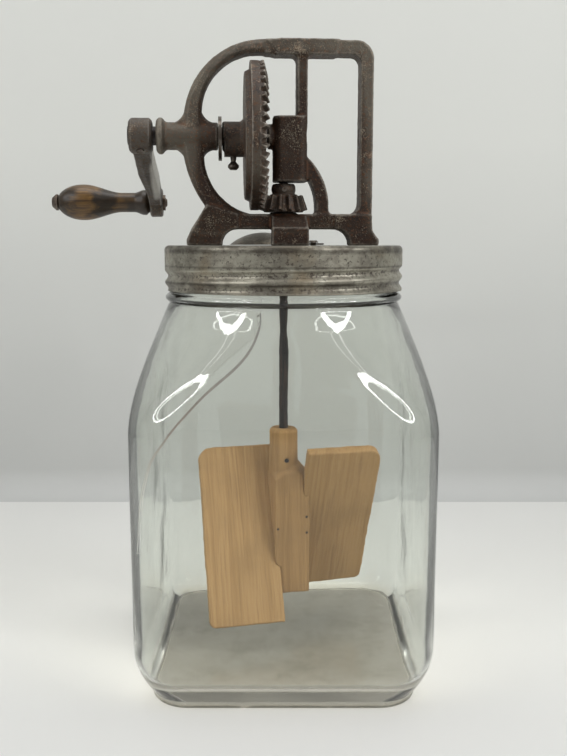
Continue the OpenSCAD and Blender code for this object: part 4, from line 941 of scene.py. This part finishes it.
# %% Both gears
onto_axis = Matrix.Translation((0, 0, AXIS_Z * MM)) @ Matrix.Rotation(math.radians(TURN), 4, "Z")
for node, name, outline, cone, teeth, first, voxel, body, place in (
        ("drive_gear", "crank_gear", gear_outline, GEAR_CONE, GEAR_TEETH, math.pi / GEAR_TEETH, 0.42, "crank",
         onto_axis @ Matrix.Rotation(math.pi / 2, 4, "Y")),
        ("bevel_pinion", "rod_pinion", pinion_outline, PINION_CONE, PINION_TEETH, math.pi, 0.26, "dasher",
         onto_axis)):
    tooth, blank = one_tooth(name + "_tooth", cone, teeth), turned_blank(name + "_blank", outline)
    face_out(tooth.data)
    if node == "drive_gear":
        lobe = turned_blank("lobe", lobe_outline)
        face_out(blank.data, lobe.data)
        bpy.data.objects.remove(lobe)
    else:
        face_out(blank.data)
    wheel = make(name, bpy.data.meshes.new(name))
    grow = wheel.modifiers.new("teeth", "NODES")
    grow.node_group = wheel_tree
    values = {"Blank": blank, "Tooth": tooth, "Teeth": teeth, "First Turn": first, "Finish": gear_iron}
    for item in wheel_tree.interface.items_tree:
        if item.in_out == "INPUT":
            grow[item.identifier] = values[item.name]
    settle(wheel)
    wheel.data.transform(place)
    bpy.data.objects.remove(tooth)
    bpy.data.objects.remove(blank)
    cast_skin(wheel, node, voxel, 3, 0.06, reach_mm=0.4, seed=3 + teeth)
    if node == "drive_gear":
        clear_hole(wheel.data, (0, 0, AXIS_Z), crank_dir, GEAR_BORE, -40, 5)
    else:
        clear_hole(wheel.data, (0, 0, 0), up, ROD_BORE, 230, 280)
    dress(wheel, node, body, gear_iron)

# %% [markdown]
# ## The dasher's boards
# The boards were sawn, planed and soaked for years, so their edges are soft and a little uneven.
# The same voxel skin rounds them, and its noise roughens their faces by a tenth of a millimetre.

# %% Boards
for node, name, finish, seed in (
        ("dasher_hub", "hub_stick", hub_wood, 11), ("left_paddle", "left_board", left_wood, 12),
        ("right_paddle", "right_board", right_wood, 13)):
    board = cast_skin(merged_copy(node, name), node, 0.7, 4, 0.10, reach_mm=0.6, seed=seed)
    if node == "dasher_hub":
        clear_hole(board.data, (0, 0, 0), up, ROD_BORE, 55, 140)
    dress(board, node, "dasher", finish)

# %% [markdown]
# ## The grip
# The grip is turned on a lathe: a bulb, a long neck and a small ring by the crank. It follows the
# solid with a smoother outline, and is spun finely enough to shine without facets.

# %% Grip
GRIP_R, GRIP_BORE = 10.4, 2.46


def grip_radius(t):
    neck = 0.545 * GRIP_R
    ring = 0.16 * GRIP_R * ease(t, 0, 0.04) * (1 - ease(t, 0.06, 0.17))
    tip = math.sqrt(1 - (max(0, t - 0.73) / 0.287) ** 2)
    return (neck + (GRIP_R - neck) * ease(t, 0.30, 0.71) + ring) * tip


grip_along = coords(nodes["wood_grip"].data) @ crank_dir / MM
grip_in, grip_out = grip_along.max(), grip_along.min()
shares = np.concatenate([np.linspace(0, 0.2, 24), np.linspace(0.2, 0.9, 50)[1:], np.linspace(0.9, 1, 18)[1:]])
profile = [(GRIP_BORE, 0.0)] + [(float(grip_radius(t)), t) for t in shares] + [(GRIP_BORE, 1.0)]
profile += [(GRIP_BORE, t) for t in np.linspace(1, 0, 12)[1:-1]]
spin = np.linspace(0, 2 * np.pi, 97)[:-1]
rings = []
for r, t in profile:
    place = grip_in + (grip_out - grip_in) * t
    rings.append(grip_axis + crank_dir * place
                 + r * (np.cos(spin)[:, None] * across + np.sin(spin)[:, None] * up))
grip = make("turned_grip", skin("turned_grip", rings, closed_loop=True))
face_out(grip.data)
dress(grip, "wood_grip", "grip", grip_wood)

# %% [markdown]
# ## Solids that keep their own mesh
# The shaft, the pins, the washers and the small tin pieces already have their true form, so they
# only get a finish.

# %% Finishes for the remaining solids
for finish, names in (
        (gasket_rubber, ["rim_gasket"]), (cover_tin, ["vent_screen", "vent_cover"]),
        (rod_steel, ["crank_shaft", "dasher_rod", "hub_pin", "paddle_nails"]),
        (small_steel, ["frame_screws", "shaft_ferrule", "vent_rivet", "thrust_washer", "gear_set_screw",
                       "crank_pin", "handle_rivet", "handle_burr", "pinion_pin"])):
    for node in names:
        slots = nodes[node].material_slots
        for one in slots:
            one.material = finish
        if not len(slots):
            nodes[node].data.materials.append(finish)
print("finished the remaining solids")

# %% [markdown]
# ## The stage
# A pale table meets a pale wall behind the churn, as in the photograph. The edges of the glass are
# grey there, as if they showed a dim room beside the table. So a ray that has crossed the glass
# once or twice sees the table and the wall in a darker tone, except close to the foot.

# %% Floor and wall
TONE_TOP, ROUND_FOOT, ASIDE = 0.32, (0.09, 0.14), (0.06, 0.30)
WALL_Y, WALL_H, TABLE_REACH, BEND_R = 310, 1600.0, 2500, 25


def stage_paint(name, low, high, clear=False):
    """Plain paper whose tone changes with height, darker low down as painted shade on the wall, and darker again
    as painted shade where a ray has crossed the glass once or twice away from the foot. Where it is clear, it
    can't be seen from behind.
    """
    material, tree, at = finish_named(name)
    # On the wall the tone is darker towards the table: painted shade.
    tone = ramp(tree, remap(tree, level(tree, at), 0.0, TONE_TOP), (0.0, low), (1.0, high))
    depth = put(tree, "ShaderNodeLightPath").outputs["Transmission Depth"]
    reach = put(tree, "ShaderNodeVectorMath", {0: at}, operation="LENGTH").outputs["Value"]
    # A ray that crossed the glass once or twice, away from the foot, sees a darker tone: painted shade for the
    # glass's grey edges.
    dim = work(tree, "MULTIPLY", work(tree, "COMPARE", depth, 1.5, 1.0), remap(tree, reach, *ROUND_FOOT))
    far = remap(tree, work(tree, "ABSOLUTE", level(tree, at, "X")), *ASIDE)
    dusk = ramp(tree, far, (0.0, "#444543"), (0.4, "#5e5f5d"), (1.0, "#989996"))
    paper = put(tree, "ShaderNodeBsdfPrincipled", {"Base Color": blend(tree, dim, tone, dusk), "Roughness": 0.85})
    if clear:
        behind = put(tree, "ShaderNodeNewGeometry").outputs["Backfacing"]
        gone = put(tree, "ShaderNodeBsdfTransparent")
        paper = put(tree, "ShaderNodeMixShader", {0: behind, 1: paper, 2: gone})
    close(tree, paper)
    return material


bend = [(WALL_Y - BEND_R + BEND_R * math.sin(a), BEND_R - BEND_R * math.cos(a))
        for a in np.linspace(0, math.pi / 2, 9)]
line = [(-TABLE_REACH, 0.0)] + bend + [(WALL_Y, WALL_H)]
verts = [(x * MM, y * MM, z * MM) for y, z in line for x in (-TABLE_REACH, TABLE_REACH)]
faces = [(2 * i, 2 * i + 1, 2 * i + 3, 2 * i + 2) for i in range(len(line) - 1)]
mesh = bpy.data.meshes.new("table_and_wall")
mesh.from_pydata(verts, [], faces)
shade(mesh)
mesh.polygons.foreach_set("material_index", [0] + [1] * (len(faces) - 1))
table = make("table_and_wall", mesh)
table.data.materials.append(stage_paint("white_table_paper", "#e0e0dd", "#e0e0dd"))
table.data.materials.append(stage_paint("pale_wall_paper", "#c4c5c3", "#dedfda", clear=True))
print("table and wall ready")

# %% [markdown]
# Two ring-shaped lamps stand in front on the left and the right, because the glass in the
# photograph mirrors loops of light. Each ring is made of short strips. A tube hangs above each, a
# window is overhead, and the room gives a faint light and looks plain grey to the eye.

# %% Lamps and room
AIM = (0, 0, 0.16)
STRIPS, STRIP_W, RING_W, RING_H = 12, 0.04, 0.72, 0.48
TUBE_LEN, TUBE_SHARE = 0.7, 0.09


def add_lamp(name, place, turn, size, power):
    lamp = bpy.data.lights.new(name, "AREA")
    lamp.shape = "RECTANGLE"
    lamp.size, lamp.size_y = size
    lamp.energy = power
    obj = bpy.data.objects.new(name, lamp)
    obj.matrix_world = Matrix.Translation(place) @ turn.to_4x4()
    scene.collection.objects.link(obj)


def facing(place, aim):
    return (Vector(aim) - Vector(place)).to_track_quat("-Z", "Y").to_matrix()


for name, x, power in (("ring_left", -0.75, 4.0), ("ring_right", 0.75, 5.2)):
    place = Vector((x, -0.55, 0.72))
    turn = facing(place, AIM)
    points = [Vector((RING_W / 2 * math.cos(a), RING_H / 2 * math.sin(a), 0))
              for a in np.linspace(0, 2 * math.pi, STRIPS + 1)]
    around = sum((b - a).length for a, b in zip(points, points[1:]))
    for k, (a, b) in enumerate(zip(points, points[1:])):
        side = b - a
        strip = turn @ Matrix.Rotation(math.atan2(side.y, side.x), 3, "Z")
        add_lamp(f"{name}_{k}", place + turn @ ((a + b) / 2), strip, (side.length, STRIP_W),
                 power * side.length / around)
    stand = Vector((x, -0.5, 1.5))
    add_lamp(f"{name}_tube", stand, facing(stand, AIM), (STRIP_W, TUBE_LEN), TUBE_SHARE * power)
above = (0.0, -0.05, 1.25)
add_lamp("window_top", above, facing(above, (0, 0.05, 0.1)), (0.9, 0.6), 4.8)

world = bpy.data.worlds.new("room")
world.use_nodes = True
sky = world.node_tree
sky.nodes.clear()
room = put(sky, "ShaderNodeBackground", {"Color": paint("#e9ecee"), "Strength": 0.2})
pale = put(sky, "ShaderNodeBackground", {"Color": paint("#8c8d8b"), "Strength": 1.0})
ray = put(sky, "ShaderNodeLightPath").outputs
through = work(sky, "GREATER_THAN", ray["Transmission Depth"], 2.5)
plain = work(sky, "MAXIMUM", ray["Is Camera Ray"], ray["Is Glossy Ray"])
seen = work(sky, "MAXIMUM", plain, through)
put(sky, "ShaderNodeOutputWorld", {"Surface": put(sky, "ShaderNodeMixShader", {0: seen, 1: room, 2: pale})})
scene.world = world
scene.view_settings.view_transform = "Standard"
print("stage ready")
